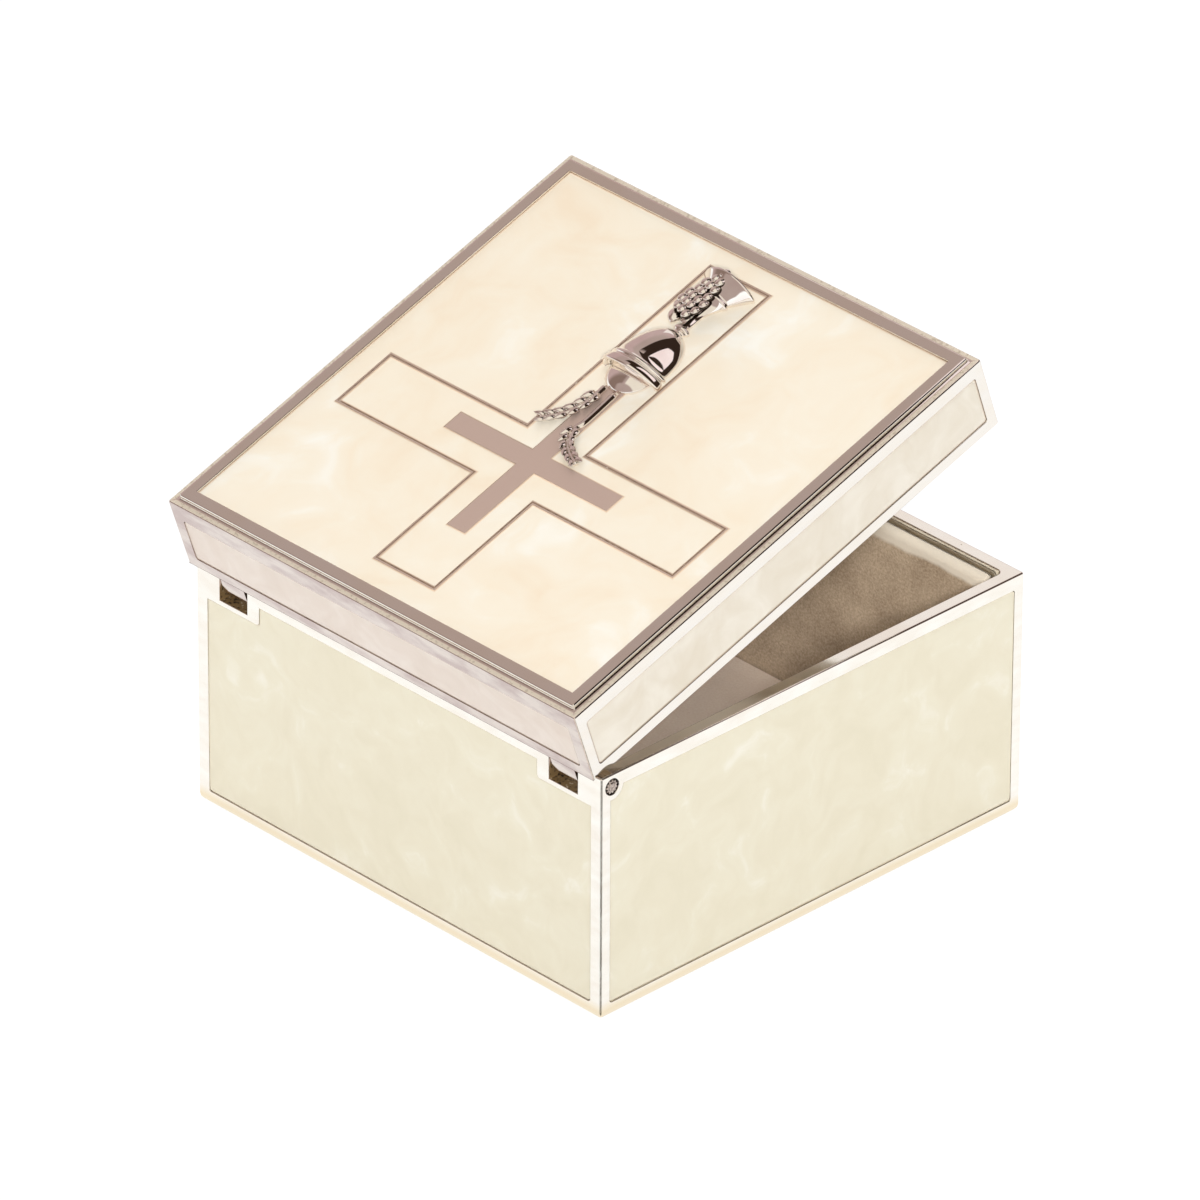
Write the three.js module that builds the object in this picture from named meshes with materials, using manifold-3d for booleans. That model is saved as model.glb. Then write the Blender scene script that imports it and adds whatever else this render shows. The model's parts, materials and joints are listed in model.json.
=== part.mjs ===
// Keepsake box: a plated die-cast body and lid with recessed enamel panels and a flocked lining.
// Millimetres, +Z up. The origin is under the middle of the base, the box opens at -Y, and the
// hinge lies along the back, at +Y. The lid stands ajar, as it is put down.
import * as THREE from "three";
import { mergeVertices } from "three/addons/utils/BufferGeometryUtils.js";
import Module from "manifold-3d";

// Body casting
const bodyWidth = 76;
const bodyDepth = 76;
const rimHeight = 36.4; // from the table to the rim
const wall = 1.95;
const bodyFloor = 1.9;
const baseRound = 1.1; // rounded edge round the base
const outerCorner = 0.3; // upright edges outside
const innerCorner = 1; // upright edges inside
const edgeBreak = 0.15; // fine bevel along the rims

// Bezels and the enamel that they frame
const backBezel = 2; // upright bezels on the back and front
const sideBezel = 1.65; // upright bezels on the sides
const topBezel = 2.1;
const bodyBottomBezel = 2.2;
const lidBottomBezel = 1.75;
const lidBackTopBezel = 2.75; // top bezels of the lid's back and front
const lidSideTopBezel = 2.05;
const panelCorner = 0.35;
const enamelRecess = 0.4; // how far the enamel lies below the bezels
const enamelThickness = 0.5;
const enamelSeam = 0.1; // hairline between enamel and metal

// Hinge
const pinInset = 1.9; // pin axis from the back face
const pinDrop = 1.83; // pin axis below the rim
const pinRadius = 0.6;
const pinBite = 2.3; // how far the pin's tip runs past the notch
const pinHoleGap = 0.06;
const pinEndGap = 0.3;
const headRadius = 1.1;
const headLength = 2.2;
const headDome = 0.15;
const domeShares = [0.8, 0.5]; // where the dome's outline bends, over its radius
const knurlDepth = 0.24;
const knurlTeeth = 11;
const pinRing = 0.9; // bezel metal left round a pin's head
const notchStart = 4.4; // from the side face to the notch
const lugWidth = 4.5;
const lugSideGap = 0.4;
const lugRadius = 1.6;
const lugRunningGap = 0.09;
const lugRib = 3.6; // rib that carries a lug up the inside of the lid's back wall
const notchFloorGap = 0.62;
const islandBorder = 2.2; // bezel beside a notch
const islandSill = 0.75; // bezel under a notch
const islandRound = 0.5;
const bossWall = 1.1; // metal between the pin's hole and the inside
const bossSill = 1.4; // metal under a notch, inside
const bossTail = 3.6; // metal past a notch, for the pin's tip
const closedGap = 0.3; // between rim and lid when the box is shut
const reliefGap = 0.25; // between the turning lid and the rim's back edge
const openAngle = 18.5; // degrees, how far ajar the lid stands
const lidOffset = 0.75; // how far the lid sits to one side of its lugs' middle

// Lid casting
const lidSide = 11.35; // height of the lid's sides
const lidWall = 1.95;
const lidPlate = 1.4; // metal under the top enamel
const ledgeWidth = 0.6; // flat step along the top of the sides
const coveRadius = 0.45; // hollow moulding above the ledge
const frameRise = 0.75; // the frame's top above the ledge
const frameBevel = 0.2;
const frameWidth = 1.65;
const fieldRecess = 0.4; // how far the top enamel lies below the frame
const fieldEnamel = 0.8;

// Cross on the lid, in shares of the enamel field and of the cross's own length
const crossLengthShare = 0.894;
const crossFootShare = 0.048; // clear of the field's front edge
const crossArmsShare = 0.889;
const uprightWidthShare = 0.174;
const armWidthShare = 0.1586;
const armPlaceShare = 0.3705;
const innerTopShare = 0.1506;
const innerFootShare = 0.634;
const innerUprightShare = 0.053;
const innerArmsShare = 0.484;
const innerArmWidthShare = 0.0495;
const innerArmPlaceShare = 0.38;
const wireWidth = 0.45;
const wireRise = 0.15; // wires and inner cross above the enamel

// Applied castings of the emblem, in shares of the cross's length
const solderGap = 0.1;
const mouthShare = 0.683; // the cup's mouth, from the top of the cross
const chaliceShare = 0.29; // the chalice's length
const cupFlatnessShare = 0.75; // relief height over radius
const lipLeanShare = 0.3; // how far the lip leans back for each unit of height
const hostRadiusShare = 0.0566;
const hostPlaceShare = 0.675;
const hostFlatnessShare = 0.52;
const stalkRadiusShare = 0.0078;
// Turned outline of the chalice: radius and distance from the mouth, over its length
const lipShares = [[0, 0.03], [0.245, 0.03], [0.262, 0], [0.283, 0.012], [0.28, 0.045], [0.262, 0.07]];
const ringShares = [[0.25, 0.078], [0.264, 0.1], [0.262, 0.122], [0.248, 0.135]];
const bowlShares = { radius: 0.248, top: 0.135, bottom: 0.51 };
const collarShares = [[0.055, 0.53], [0.075, 0.55], [0.055, 0.575]];
const stemShares = [[0.032, 0.62], [0.032, 0.74], [0.045, 0.77], [0.075, 0.815], [0.112, 0.885]];
const footShares = [[0.128, 0.895], [0.125, 0.915], [0.165, 0.945], [0.25, 0.985], [0.252, 1], [0, 1]];
// Centre lines of the wheat ears above their straight stalks: across and from the top of the cross
const leftEarShares = [
  [-0.0165, 0.52], [-0.0125, 0.497], [-0.024, 0.462], [-0.052, 0.437], [-0.088, 0.42],
];
const rightEarShares = [[0.02, 0.595], [0.024, 0.56], [0.036, 0.525], [0.055, 0.5], [0.0765, 0.48]];
const earStartShares = { left: 0.42, right: 0.2 }; // where the grains begin along each line
const earEndShare = 0.93; // where the last pair of grains sits
// A grain of wheat: radius over its width and distance over its length
const grainShares = [[0, 0], [0.34, 0.1], [0.5, 0.32], [0.42, 0.6], [0.2, 0.85], [0, 1.15]];
const grainLengthShare = 0.031;
const grainWidthShare = 0.025;
const grainPairs = 6;
const grainTaperShare = 0.35; // how much smaller the last grain is than the first
const grainAsideShare = 0.5; // grain's root from the stalk's middle, over the stalk's radius
const grainRaiseShare = 0.3; // and above it
const grainLiftAngle = 0.2; // radians, how far a grain's tip rises
const grainSplayAngle = 0.42; // radians, how far it turns from the stalk
// The bunch of grapes
const bunchShares = { root: [0.0335, 0.862], tip: [0.005, 0.973] };
const berryRowCounts = [3, 4, 4, 4, 3, 2, 1];
const berryRadiusShare = 0.0112;
const berryPitchShare = 0.0176;
const berryClimbShare = 3.1; // rise from the root to the tip, over a berry's radius
const berryCrownShare = 0.9; // rise from the bunch's side to its middle
const berryDomeAngles = [0.6, 1.15]; // radians, the corners of a berry's round top
// Vine leaves: across, from the top of the cross, half length, half width, and turn in radians
const leafShares = [
  { across: 0.046, along: 0.853, length: 0.0225, width: 0.0155, turnAngle: 0.35 },
  { across: 0.0125, along: 0.858, length: 0.018, width: 0.0115, turnAngle: -0.5 },
  { across: 0.064, along: 0.884, length: 0.019, width: 0.0105, turnAngle: 0.15 },
];

// Lining and base felt
const liningThickness = 1.6;
const liningRoundShare = 0.7; // rounding of a board's top edge over its thickness
const liningDrop = 1; // lining's top edge below the rim
const liningFit = 0.1;
const floorLining = 2;
const lidLining = 1;
const feltInset = 1.6; // felt's edge from the side faces
const feltDeep = 0.6; // felt sunk into the base
const feltProud = 0.3; // felt standing out of the base

// One overrun serves all cuts, and one overlap all joins.
const overrun = 2;
const weld = 0.3;
const mergeTolerance = 1e-5;
const quarter = Math.PI / 2;
const degree = Math.PI / 180;

const wasm = await Module();
wasm.setup();

// Worked out from the sizes above
const halfWidth = bodyWidth / 2;
const halfDepth = bodyDepth / 2;
const pocketDepth = enamelRecess + enamelThickness + enamelSeam;
const floorTop = feltProud + bodyFloor;
const pinY = halfDepth - pinInset;
const pinZ = rimHeight - pinDrop;
const notchWidth = lugWidth + 2 * lugSideGap;
const notchEnd = notchStart + notchWidth;
const notchDepth = pinDrop + lugRadius + notchFloorGap;
const pinLength = notchEnd + pinBite;
const bossDepth = pinInset + pinRadius + bossWall;
const bossEnd = notchEnd + bossTail;
const bossHeight = notchDepth + bossSill;
const lidBase = rimHeight + closedGap;
const frameTop = lidBase + lidSide + frameRise;
const fieldTop = frameTop - fieldRecess;
const fieldFloor = fieldTop - fieldEnamel - enamelSeam;
const ceiling = fieldFloor - lidPlate;
const fieldInset = ledgeWidth + coveRadius + frameBevel + frameWidth;
const fieldWidth = bodyWidth - 2 * fieldInset;
const fieldDepth = bodyDepth - 2 * fieldInset;
const crossLength = crossLengthShare * fieldDepth;
const crossFoot = -halfDepth + fieldInset + crossFootShare * fieldDepth;
const crossTop = crossFoot + crossLength;
const emblemBase = fieldTop + wireRise + solderGap;

const walls = {
  front: { turn: 0, across: bodyWidth, out: halfDepth, bezel: backBezel, lidTop: lidBackTopBezel },
  right: { turn: quarter, across: bodyDepth, out: halfWidth, bezel: sideBezel, lidTop: lidSideTopBezel },
  back: { turn: 2 * quarter, across: bodyWidth, out: halfDepth, bezel: backBezel, lidTop: lidBackTopBezel },
  left: { turn: 3 * quarter, across: bodyDepth, out: halfWidth, bezel: sideBezel, lidTop: lidSideTopBezel },
};

const plate = new THREE.MeshStandardMaterial({ color: 0xd8cfc6, metalness: 1, roughness: 0.12 });
const brightPlate = new THREE.MeshStandardMaterial({ color: 0xe4dedb, metalness: 1, roughness: 0.06 });
const steel = new THREE.MeshStandardMaterial({ color: 0x8f8780, metalness: 1, roughness: 0.35 });
const pearlEnamel = new THREE.MeshStandardMaterial({ color: 0xf1e8d4, metalness: 0, roughness: 0.15 });
const flock = new THREE.MeshStandardMaterial({ color: 0x9b9189, metalness: 0, roughness: 1 });
const baseFelt = new THREE.MeshStandardMaterial({ color: 0x7d746b, metalness: 0, roughness: 1 });

// A closed geometry as a solid that can be joined and cut.
function solid(geometry) {
  const plain = geometry.index ? geometry.toNonIndexed() : geometry.clone();
  plain.deleteAttribute("normal");
  plain.deleteAttribute("uv");
  const merged = mergeVertices(plain, mergeTolerance);
  const corners = merged.index.array;
  const kept = [];
  for (let i = 0; i < corners.length; i += 3) {
    const [a, b, c] = [corners[i], corners[i + 1], corners[i + 2]];
    if (a !== b && b !== c && c !== a) kept.push(a, b, c);
  }
  return new wasm.Manifold(
    new wasm.Mesh({
      numProp: 3,
      vertProperties: merged.attributes.position.array,
      triVerts: new Uint32Array(kept),
    }),
  );
}

// A finished solid as a named mesh.
function piece(name, shape, material) {
  const { vertProperties, triVerts } = shape.getMesh();
  const shared = new THREE.BufferGeometry();
  shared.setAttribute("position", new THREE.BufferAttribute(vertProperties, 3));
  shared.setIndex(new THREE.BufferAttribute(triVerts, 1));
  const geometry = shared.toNonIndexed();
  geometry.computeVertexNormals();
  const mesh = new THREE.Mesh(geometry, material);
  mesh.name = name;
  return mesh;
}

function roundedRect(left, right, low, high, radius) {
  const shape = new THREE.Shape();
  shape.moveTo(left + radius, low);
  shape.lineTo(right - radius, low);
  shape.absarc(right - radius, low + radius, radius, -quarter, 0);
  shape.lineTo(right, high - radius);
  shape.absarc(right - radius, high - radius, radius, 0, quarter);
  shape.lineTo(left + radius, high);
  shape.absarc(left + radius, high - radius, radius, quarter, 2 * quarter);
  shape.lineTo(left, low + radius);
  shape.absarc(left + radius, low + radius, radius, 2 * quarter, 3 * quarter);
  return shape;
}

function polygon(points) {
  return new THREE.Shape(points.map(([x, y]) => new THREE.Vector2(x, y)));
}

function extrude(shape, from, to, curveSegments = 2) {
  const options = { depth: to - from, bevelEnabled: false, curveSegments };
  return new THREE.ExtrudeGeometry(shape, options).translate(0, 0, from);
}

// A plan outline raised from one height to another.
function upright(shape, from, to) {
  return solid(extrude(shape, from, to));
}

// An outline drawn as (y, z), run along X.
function alongX(shape, from, to) {
  const axes = [new THREE.Vector3(0, 1, 0), new THREE.Vector3(0, 0, 1), new THREE.Vector3(1, 0, 0)];
  return solid(extrude(shape, from, to).applyMatrix4(new THREE.Matrix4().makeBasis(...axes)));
}

// An outline drawn on a wall as seen from outside, run outwards between two distances from the middle.
function onWall(side, shape, from, to) {
  return solid(extrude(shape, from, to).rotateX(quarter).rotateZ(walls[side].turn));
}

// A round bar along the pin axis.
function pinBar(radius, from, to, steps) {
  const bar = new THREE.CylinderGeometry(radius, radius, to - from, steps);
  return solid(bar.rotateZ(quarter).translate((from + to) / 2, pinY, pinZ));
}

// A solid through rounded rectangles stacked at their heights; all rings have as many points.
function loft(rings) {
  const outlines = rings.map(({ inset, z }) => {
    const x = halfWidth - inset;
    const y = halfDepth - inset;
    const points = roundedRect(-x, x, -y, y, outerCorner).getPoints(1).slice(0, -1);
    return points.map((point) => new THREE.Vector3(point.x, point.y, z));
  });
  const count = outlines[0].length;
  const vertices = outlines.flat();
  const faces = [];
  for (let ring = 0; ring + 1 < outlines.length; ring++) {
    for (let i = 0; i < count; i++) {
      const a = ring * count + i;
      const b = ring * count + ((i + 1) % count);
      faces.push(a, b, b + count, a, b + count, a + count);
    }
  }
  const last = (outlines.length - 1) * count;
  for (let i = 1; i + 1 < count; i++) {
    faces.push(0, i + 1, i, last, last + i, last + i + 1);
  }
  const geometry = new THREE.BufferGeometry().setFromPoints(vertices);
  geometry.setIndex(faces);
  return solid(geometry);
}

// Body

// An enamel panel of the body, or with no seam the pocket that holds it.
function bodyPanel(side, seam) {
  const { across, out, bezel } = walls[side];
  const reach = across / 2 - bezel - seam;
  const low = feltProud + bodyBottomBezel + seam;
  const high = rimHeight - topBezel - seam;
  const outline = roundedRect(-reach, reach, low, high, panelCorner);
  const outer = seam ? out - enamelRecess : out + overrun;
  let panel = onWall(side, outline, out - pocketDepth + seam, outer);
  for (const sign of [-1, 1]) {
    if (side === "back") panel = panel.subtract(notchIsland(sign, seam));
    else if (side !== "front") panel = panel.subtract(pinBoss(sign, seam));
  }
  return panel;
}

// The bezel metal round a hinge notch, which steps the back panel's top corners.
function notchIsland(sign, seam) {
  const inner = halfWidth - notchEnd - islandBorder - seam;
  const low = rimHeight - notchDepth - islandSill - seam;
  const [left, right] = sign < 0 ? [-halfWidth - overrun, -inner] : [inner, halfWidth + overrun];
  const outline = roundedRect(left, right, low, rimHeight + overrun, islandRound);
  return onWall("back", outline, halfDepth - wall, halfDepth + 2 * overrun);
}

// The bezel metal round a pin's head, which cuts a side panel's top corner.
function pinBoss(sign, seam) {
  const radius = headRadius + pinRing + seam;
  const [from, to] = sign < 0
    ? [-halfWidth - 2 * overrun, -halfWidth + wall]
    : [halfWidth - wall, halfWidth + 2 * overrun];
  return pinBar(radius, from, to, 32);
}

// The thickening inside a back corner that holds a pin, with a sloped underside.
function hingeBoss(sign, grow) {
  const inner = halfDepth - bossDepth - grow;
  const low = rimHeight - bossHeight - grow;
  const root = halfDepth - wall + weld;
  const outline = polygon([
    [root, rimHeight + (grow && overrun)],
    [inner, rimHeight + (grow && overrun)],
    [inner, low],
    [root, low - (root - inner)],
  ]);
  const far = halfWidth - bossEnd - grow;
  const near = halfWidth - wall + weld;
  return sign < 0 ? alongX(outline, -near, -far) : alongX(outline, far, near);
}

function hingeNotch(sign) {
  const [left, right] = [halfWidth - notchEnd, halfWidth - notchStart];
  const outline = polygon([
    [halfDepth - bossDepth - overrun, rimHeight - notchDepth],
    [halfDepth + overrun, rimHeight - notchDepth],
    [halfDepth + overrun, rimHeight + overrun],
    [halfDepth - bossDepth - overrun, rimHeight + overrun],
  ]);
  return sign < 0 ? alongX(outline, -right, -left) : alongX(outline, left, right);
}

// A pin's hole: wide at the side face for the knurled head, then narrow to a blind end.
function pinHole(sign) {
  const tip = halfWidth - pinLength - pinEndGap;
  const neck = halfWidth - headLength - pinEndGap;
  const mouth = halfWidth + overrun;
  const narrow = pinRadius + pinHoleGap;
  const wide = headRadius + pinHoleGap;
  const hole = pinBar(narrow, tip, mouth, 24).add(pinBar(wide, neck, mouth, 24));
  return sign < 0 ? hole.mirror([1, 0, 0]) : hole;
}

function feltOutline(gap) {
  const x = halfWidth - feltInset - gap;
  const y = halfDepth - feltInset - gap;
  return roundedRect(-x, x, -y, y, innerCorner);
}

function bodyCasting() {
  const rings = [];
  const steps = 4;
  for (let i = 0; i <= steps; i++) {
    const angle = (quarter * i) / steps;
    const inset = baseRound * (1 - Math.sin(angle));
    rings.push({ inset, z: feltProud + baseRound * (1 - Math.cos(angle)) });
  }
  rings.push({ inset: 0, z: rimHeight - edgeBreak }, { inset: edgeBreak, z: rimHeight });
  const x = halfWidth - wall;
  const y = halfDepth - wall;
  const hollow = roundedRect(-x, x, -y, y, innerCorner);
  let casting = loft(rings).subtract(upright(hollow, floorTop, rimHeight + overrun));
  for (const sign of [-1, 1]) casting = casting.add(hingeBoss(sign, 0));
  for (const side of Object.keys(walls)) casting = casting.subtract(bodyPanel(side, 0));
  for (const sign of [-1, 1]) casting = casting.subtract(hingeNotch(sign)).subtract(pinHole(sign));
  return casting.subtract(upright(feltOutline(0), feltProud - overrun, feltProud + feltDeep));
}

// A hinge pin: a plain shank and a knurled head with a low dome, its outer end flush with the side.
function hingePin(sign) {
  const teeth = new THREE.Shape();
  for (let i = 0; i < 2 * knurlTeeth; i++) {
    const radius = i % 2 ? headRadius - knurlDepth : headRadius;
    const angle = (i * Math.PI) / knurlTeeth;
    const [y, z] = [pinY + radius * Math.cos(angle), pinZ + radius * Math.sin(angle)];
    if (i) teeth.lineTo(y, z);
    else teeth.moveTo(y, z);
  }
  const head = alongX(teeth, halfWidth - headLength, halfWidth);
  const shank = pinBar(pinRadius, halfWidth - pinLength, halfWidth - headLength + weld, 20);
  const base = headRadius - knurlDepth;
  const profile = [[0, -weld], [base, -weld], [base, 0]];
  for (const share of domeShares) profile.push([base * share, headDome * (1 - share * share)]);
  profile.push([0, headDome]);
  const points = profile.map(([r, height]) => new THREE.Vector2(r, height));
  const cap = new THREE.LatheGeometry(points, 20).rotateZ(-quarter).translate(halfWidth, pinY, pinZ);
  const pin = head.add(shank).add(solid(cap));
  return sign < 0 ? pin.mirror([1, 0, 0]) : pin;
}

// Lining

// A flocked board along a wall, with its inner top edge rounded over.
function liningBoard(side, length, thickness, low, high, offset) {
  const outer = -(walls[side].out - offset);
  const inner = outer + thickness;
  const round = thickness * liningRoundShare;
  const profile = new THREE.Shape();
  profile.moveTo(outer, low);
  profile.lineTo(inner, low);
  profile.lineTo(inner, high - round);
  profile.absarc(inner - round, high - round, round, 0, quarter);
  profile.lineTo(outer, high);
  const board = extrude(profile, -length / 2, length / 2, 3);
  const axes = [new THREE.Vector3(0, 1, 0), new THREE.Vector3(0, 0, 1), new THREE.Vector3(1, 0, 0)];
  board.applyMatrix4(new THREE.Matrix4().makeBasis(...axes));
  return solid(board.rotateZ(walls[side].turn));
}

function bodyLining(side) {
  const offset = wall + liningFit;
  const full = walls[side].across - 2 * (wall + innerCorner);
  const between = walls[side].across - 2 * (offset + liningThickness + liningFit);
  const length = side === "left" || side === "right" ? full : between;
  const [low, high] = [floorTop + liningFit, rimHeight - liningDrop];
  let board = liningBoard(side, length, liningThickness, low, high, offset);
  for (const sign of [-1, 1]) board = board.subtract(hingeBoss(sign, liningFit));
  return board;
}

function floorBoard() {
  const inset = wall + 2 * liningFit + liningThickness;
  const x = halfWidth - inset;
  const y = halfDepth - inset;
  const outline = roundedRect(-x, x, -y, y, panelCorner);
  return upright(outline, floorTop + liningFit, floorTop + floorLining);
}

// Lid, drawn shut

function lidPanel(side, seam) {
  const { across, out, bezel, lidTop } = walls[side];
  const reach = across / 2 - bezel - seam;
  const low = lidBase + lidBottomBezel + seam;
  const high = lidBase + lidSide - lidTop - seam;
  const outline = roundedRect(-reach, reach, low, high, panelCorner);
  const outer = seam ? out - enamelRecess : out + overrun;
  return onWall(side, outline, out - pocketDepth + seam, outer);
}

// The lid's outside: plain sides, a ledge, a cove, and the bevelled frame on top.
function lidBlock() {
  const ledge = lidBase + lidSide;
  const rings = [
    { inset: edgeBreak, z: lidBase },
    { inset: 0, z: lidBase + edgeBreak },
    { inset: 0, z: ledge - edgeBreak },
    { inset: edgeBreak, z: ledge },
  ];
  const steps = 4;
  for (let i = 0; i <= steps; i++) {
    const angle = (quarter * i) / steps;
    const inset = ledgeWidth + coveRadius * Math.sin(angle);
    rings.push({ inset, z: ledge + coveRadius * (1 - Math.cos(angle)) });
  }
  const riser = ledgeWidth + coveRadius;
  rings.push({ inset: riser, z: frameTop - frameBevel / 2 }, { inset: riser + frameBevel, z: frameTop });
  return loft(rings);
}

// A Latin cross in plan, from its top, foot and arm, each side moved out by grow.
function crossOutline({ top, foot, upright: width, arms, armMiddle, armWidth }, grow) {
  const [x, armX] = [width / 2 + grow, arms / 2 + grow];
  const [back, front] = [armMiddle + armWidth / 2 + grow, armMiddle - armWidth / 2 - grow];
  return [
    [x, foot - grow], [x, front], [armX, front], [armX, back], [x, back], [x, top + grow],
    [-x, top + grow], [-x, back], [-armX, back], [-armX, front], [-x, front], [-x, foot - grow],
  ];
}

const outerCross = {
  top: crossTop,
  foot: crossFoot,
  upright: uprightWidthShare * crossLength,
  arms: crossArmsShare * fieldWidth,
  armMiddle: crossTop - armPlaceShare * crossLength,
  armWidth: armWidthShare * crossLength,
};

const innerCross = {
  top: crossTop - innerTopShare * crossLength,
  foot: crossTop - innerFootShare * crossLength,
  upright: innerUprightShare * crossLength,
  arms: innerArmsShare * outerCross.arms,
  armMiddle: crossTop - innerArmPlaceShare * crossLength,
  armWidth: innerArmWidthShare * crossLength,
};

function ringShape(outer, inner) {
  const shape = polygon(outer);
  shape.holes.push(new THREE.Path(inner.map(([x, y]) => new THREE.Vector2(x, y))));
  return shape;
}

function wireCross() {
  const half = wireWidth / 2;
  const outline = ringShape(crossOutline(outerCross, half), crossOutline(outerCross, -half));
  return upright(outline, fieldFloor - weld, fieldTop + wireRise);
}

function solidCross() {
  return upright(polygon(crossOutline(innerCross, 0)), fieldFloor - weld, fieldTop + wireRise);
}

// The enamel outside the wire cross.
function outerField() {
  const x = fieldWidth / 2 - enamelSeam;
  const y = fieldDepth / 2 - enamelSeam;
  const edge = [[x, -y], [x, y], [-x, y], [-x, -y]];
  const outline = ringShape(edge, crossOutline(outerCross, wireWidth / 2 + enamelSeam));
  return upright(outline, fieldFloor + enamelSeam, fieldTop);
}

// The enamel between the wire cross and the solid one.
function innerField() {
  const grow = wireWidth / 2 + enamelSeam;
  const outline = ringShape(crossOutline(outerCross, -grow), crossOutline(innerCross, enamelSeam));
  return upright(outline, fieldFloor + enamelSeam, fieldTop);
}

// A hinge lug: an eye on the pin, a neck up to the lid, and a rib up the inside of its back wall.
function lug(sign, grow) {
  const inner = halfWidth - notchEnd + lugSideGap - grow;
  const outer = halfWidth - notchStart - lugSideGap + grow;
  const reach = lugRadius + grow;
  const ribTop = lidBase + lugRib + grow;
  const low = grow ? lidBase - overrun : pinZ;
  const neckTop = lidBase + lidBottomBezel - weld;
  const inWall = halfDepth - lidWall + weld;
  const neck = polygon([
    [pinY - reach, low],
    [pinY + reach, low],
    [pinY + reach, neckTop],
    [inWall, neckTop],
    [inWall, ribTop + inWall - pinY + reach],
    [pinY - reach, ribTop],
  ]);
  const eye = pinBar(lugRadius, inner, outer, 28);
  const bore = pinBar(pinRadius + lugRunningGap, inner - overrun, outer + overrun, 24);
  const stem = alongX(neck, inner, outer);
  const whole = grow ? stem : eye.add(stem).subtract(bore);
  return (sign < 0 ? whole.mirror([1, 0, 0]) : whole).translate(-lidOffset, 0, 0);
}

function lidCasting() {
  const x = halfWidth - lidWall;
  const y = halfDepth - lidWall;
  const hollow = roundedRect(-x, x, -y, y, innerCorner);
  let casting = lidBlock().subtract(upright(hollow, lidBase - overrun, ceiling));
  const fieldX = fieldWidth / 2;
  const fieldY = fieldDepth / 2;
  const field = polygon([
    [fieldX, -fieldY],
    [fieldX, fieldY],
    [-fieldX, fieldY],
    [-fieldX, -fieldY],
  ]);
  casting = casting.subtract(upright(field, fieldFloor, frameTop + overrun));
  casting = casting.add(wireCross()).add(solidCross());
  for (const side of Object.keys(walls)) casting = casting.subtract(lidPanel(side, 0));
  const relief = Math.hypot(pinInset, pinDrop) + reliefGap;
  casting = casting.subtract(pinBar(relief, -halfWidth - overrun, halfWidth + overrun, 64));
  for (const sign of [-1, 1]) casting = casting.add(lug(sign, 0));
  return casting;
}

function lidCeiling() {
  const x = halfWidth - lidWall - liningFit;
  const y = halfDepth - lidWall - liningFit;
  const high = ceiling - liningFit;
  return upright(roundedRect(-x, x, -y, y, innerCorner), high - lidLining, high);
}

// The strip of lining round the inside of the lid's four sides.
function lidBand() {
  const outline = (inset) => {
    const x = halfWidth - lidWall - inset;
    const y = halfDepth - lidWall - inset;
    return roundedRect(-x, x, -y, y, innerCorner);
  };
  const low = lidBase + liningDrop;
  const high = ceiling - 2 * liningFit - lidLining;
  const outer = upright(outline(liningFit), low, high);
  let band = outer.subtract(upright(outline(liningFit + lidLining), low - overrun, high + overrun));
  for (const sign of [-1, 1]) band = band.subtract(lug(sign, liningFit));
  return band;
}

// Emblem, applied castings that lie on the lid's top

const emblemPoint = (across, along) => [across * crossLength, crossTop - along * crossLength];

// Only what stands above the lid's top is kept.
function aboveTop(shape) {
  const slab = new THREE.BoxGeometry(bodyWidth, bodyDepth, crossLength);
  return shape.intersect(solid(slab.translate(0, 0, emblemBase + crossLength / 2)));
}

// Heights that lean the upper parts back towards the hinge, most at the mouth and not at all at the end.
function leanBack(geometry, mouth, end) {
  const places = geometry.attributes.position;
  for (let i = 0; i < places.count; i++) {
    const share = Math.min(1, Math.max(0, (places.getY(i) - end) / (mouth - end)));
    places.setY(i, places.getY(i) + lipLeanShare * share * places.getZ(i));
  }
  return geometry;
}

// The chalice as a turned form laid down and flattened; gap grows it for the pieces that meet it.
function chalice(gap) {
  const length = chaliceShare * crossLength;
  const [, mouth] = emblemPoint(0, mouthShare);
  const { radius, top, bottom } = bowlShares;
  const bowl = [];
  const steps = 9;
  for (let i = 1; i < steps - 1; i++) {
    const angle = (quarter * i) / steps;
    bowl.push([radius * Math.cos(angle), top + (bottom - top) * Math.sin(angle)]);
  }
  const shares = [lipShares, ringShares, bowl, collarShares, stemShares, footShares].flat();
  const points = shares.map(([r, s]) => new THREE.Vector2(r && r * length + gap, -s * length));
  const turned = new THREE.LatheGeometry(points.reverse(), 28);
  turned.scale(1, 1, cupFlatnessShare);
  leanBack(turned, 0, -bottom * length);
  const form = solid(turned.translate(0, mouth, emblemBase));
  return gap ? form.translate(0, gap, 0).add(form.translate(0, -gap, 0)) : aboveTop(form);
}

// The host: a domed disc cut off where it meets the cup's mouth.
function host() {
  const radius = hostRadiusShare * crossLength;
  const [, middle] = emblemPoint(0, hostPlaceShare);
  const dome = new THREE.SphereGeometry(radius, 28, 14).rotateX(quarter).scale(1, 1, hostFlatnessShare);
  const disc = aboveTop(solid(dome.translate(0, middle, emblemBase)));
  const length = chaliceShare * crossLength;
  const [, mouth] = emblemPoint(0, mouthShare);
  const block = new THREE.BoxGeometry(bodyWidth, length, crossLength);
  leanBack(block, length / 2, -overrun * length);
  return disc.subtract(solid(block.translate(0, mouth + solderGap - length / 2, emblemBase)));
}

// A pointed grain of wheat, its tip along +Y.
function grain(length, width) {
  const points = grainShares.map(([r, s]) => new THREE.Vector2(r * width, s * length));
  return new THREE.LatheGeometry(points, 7);
}

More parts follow.
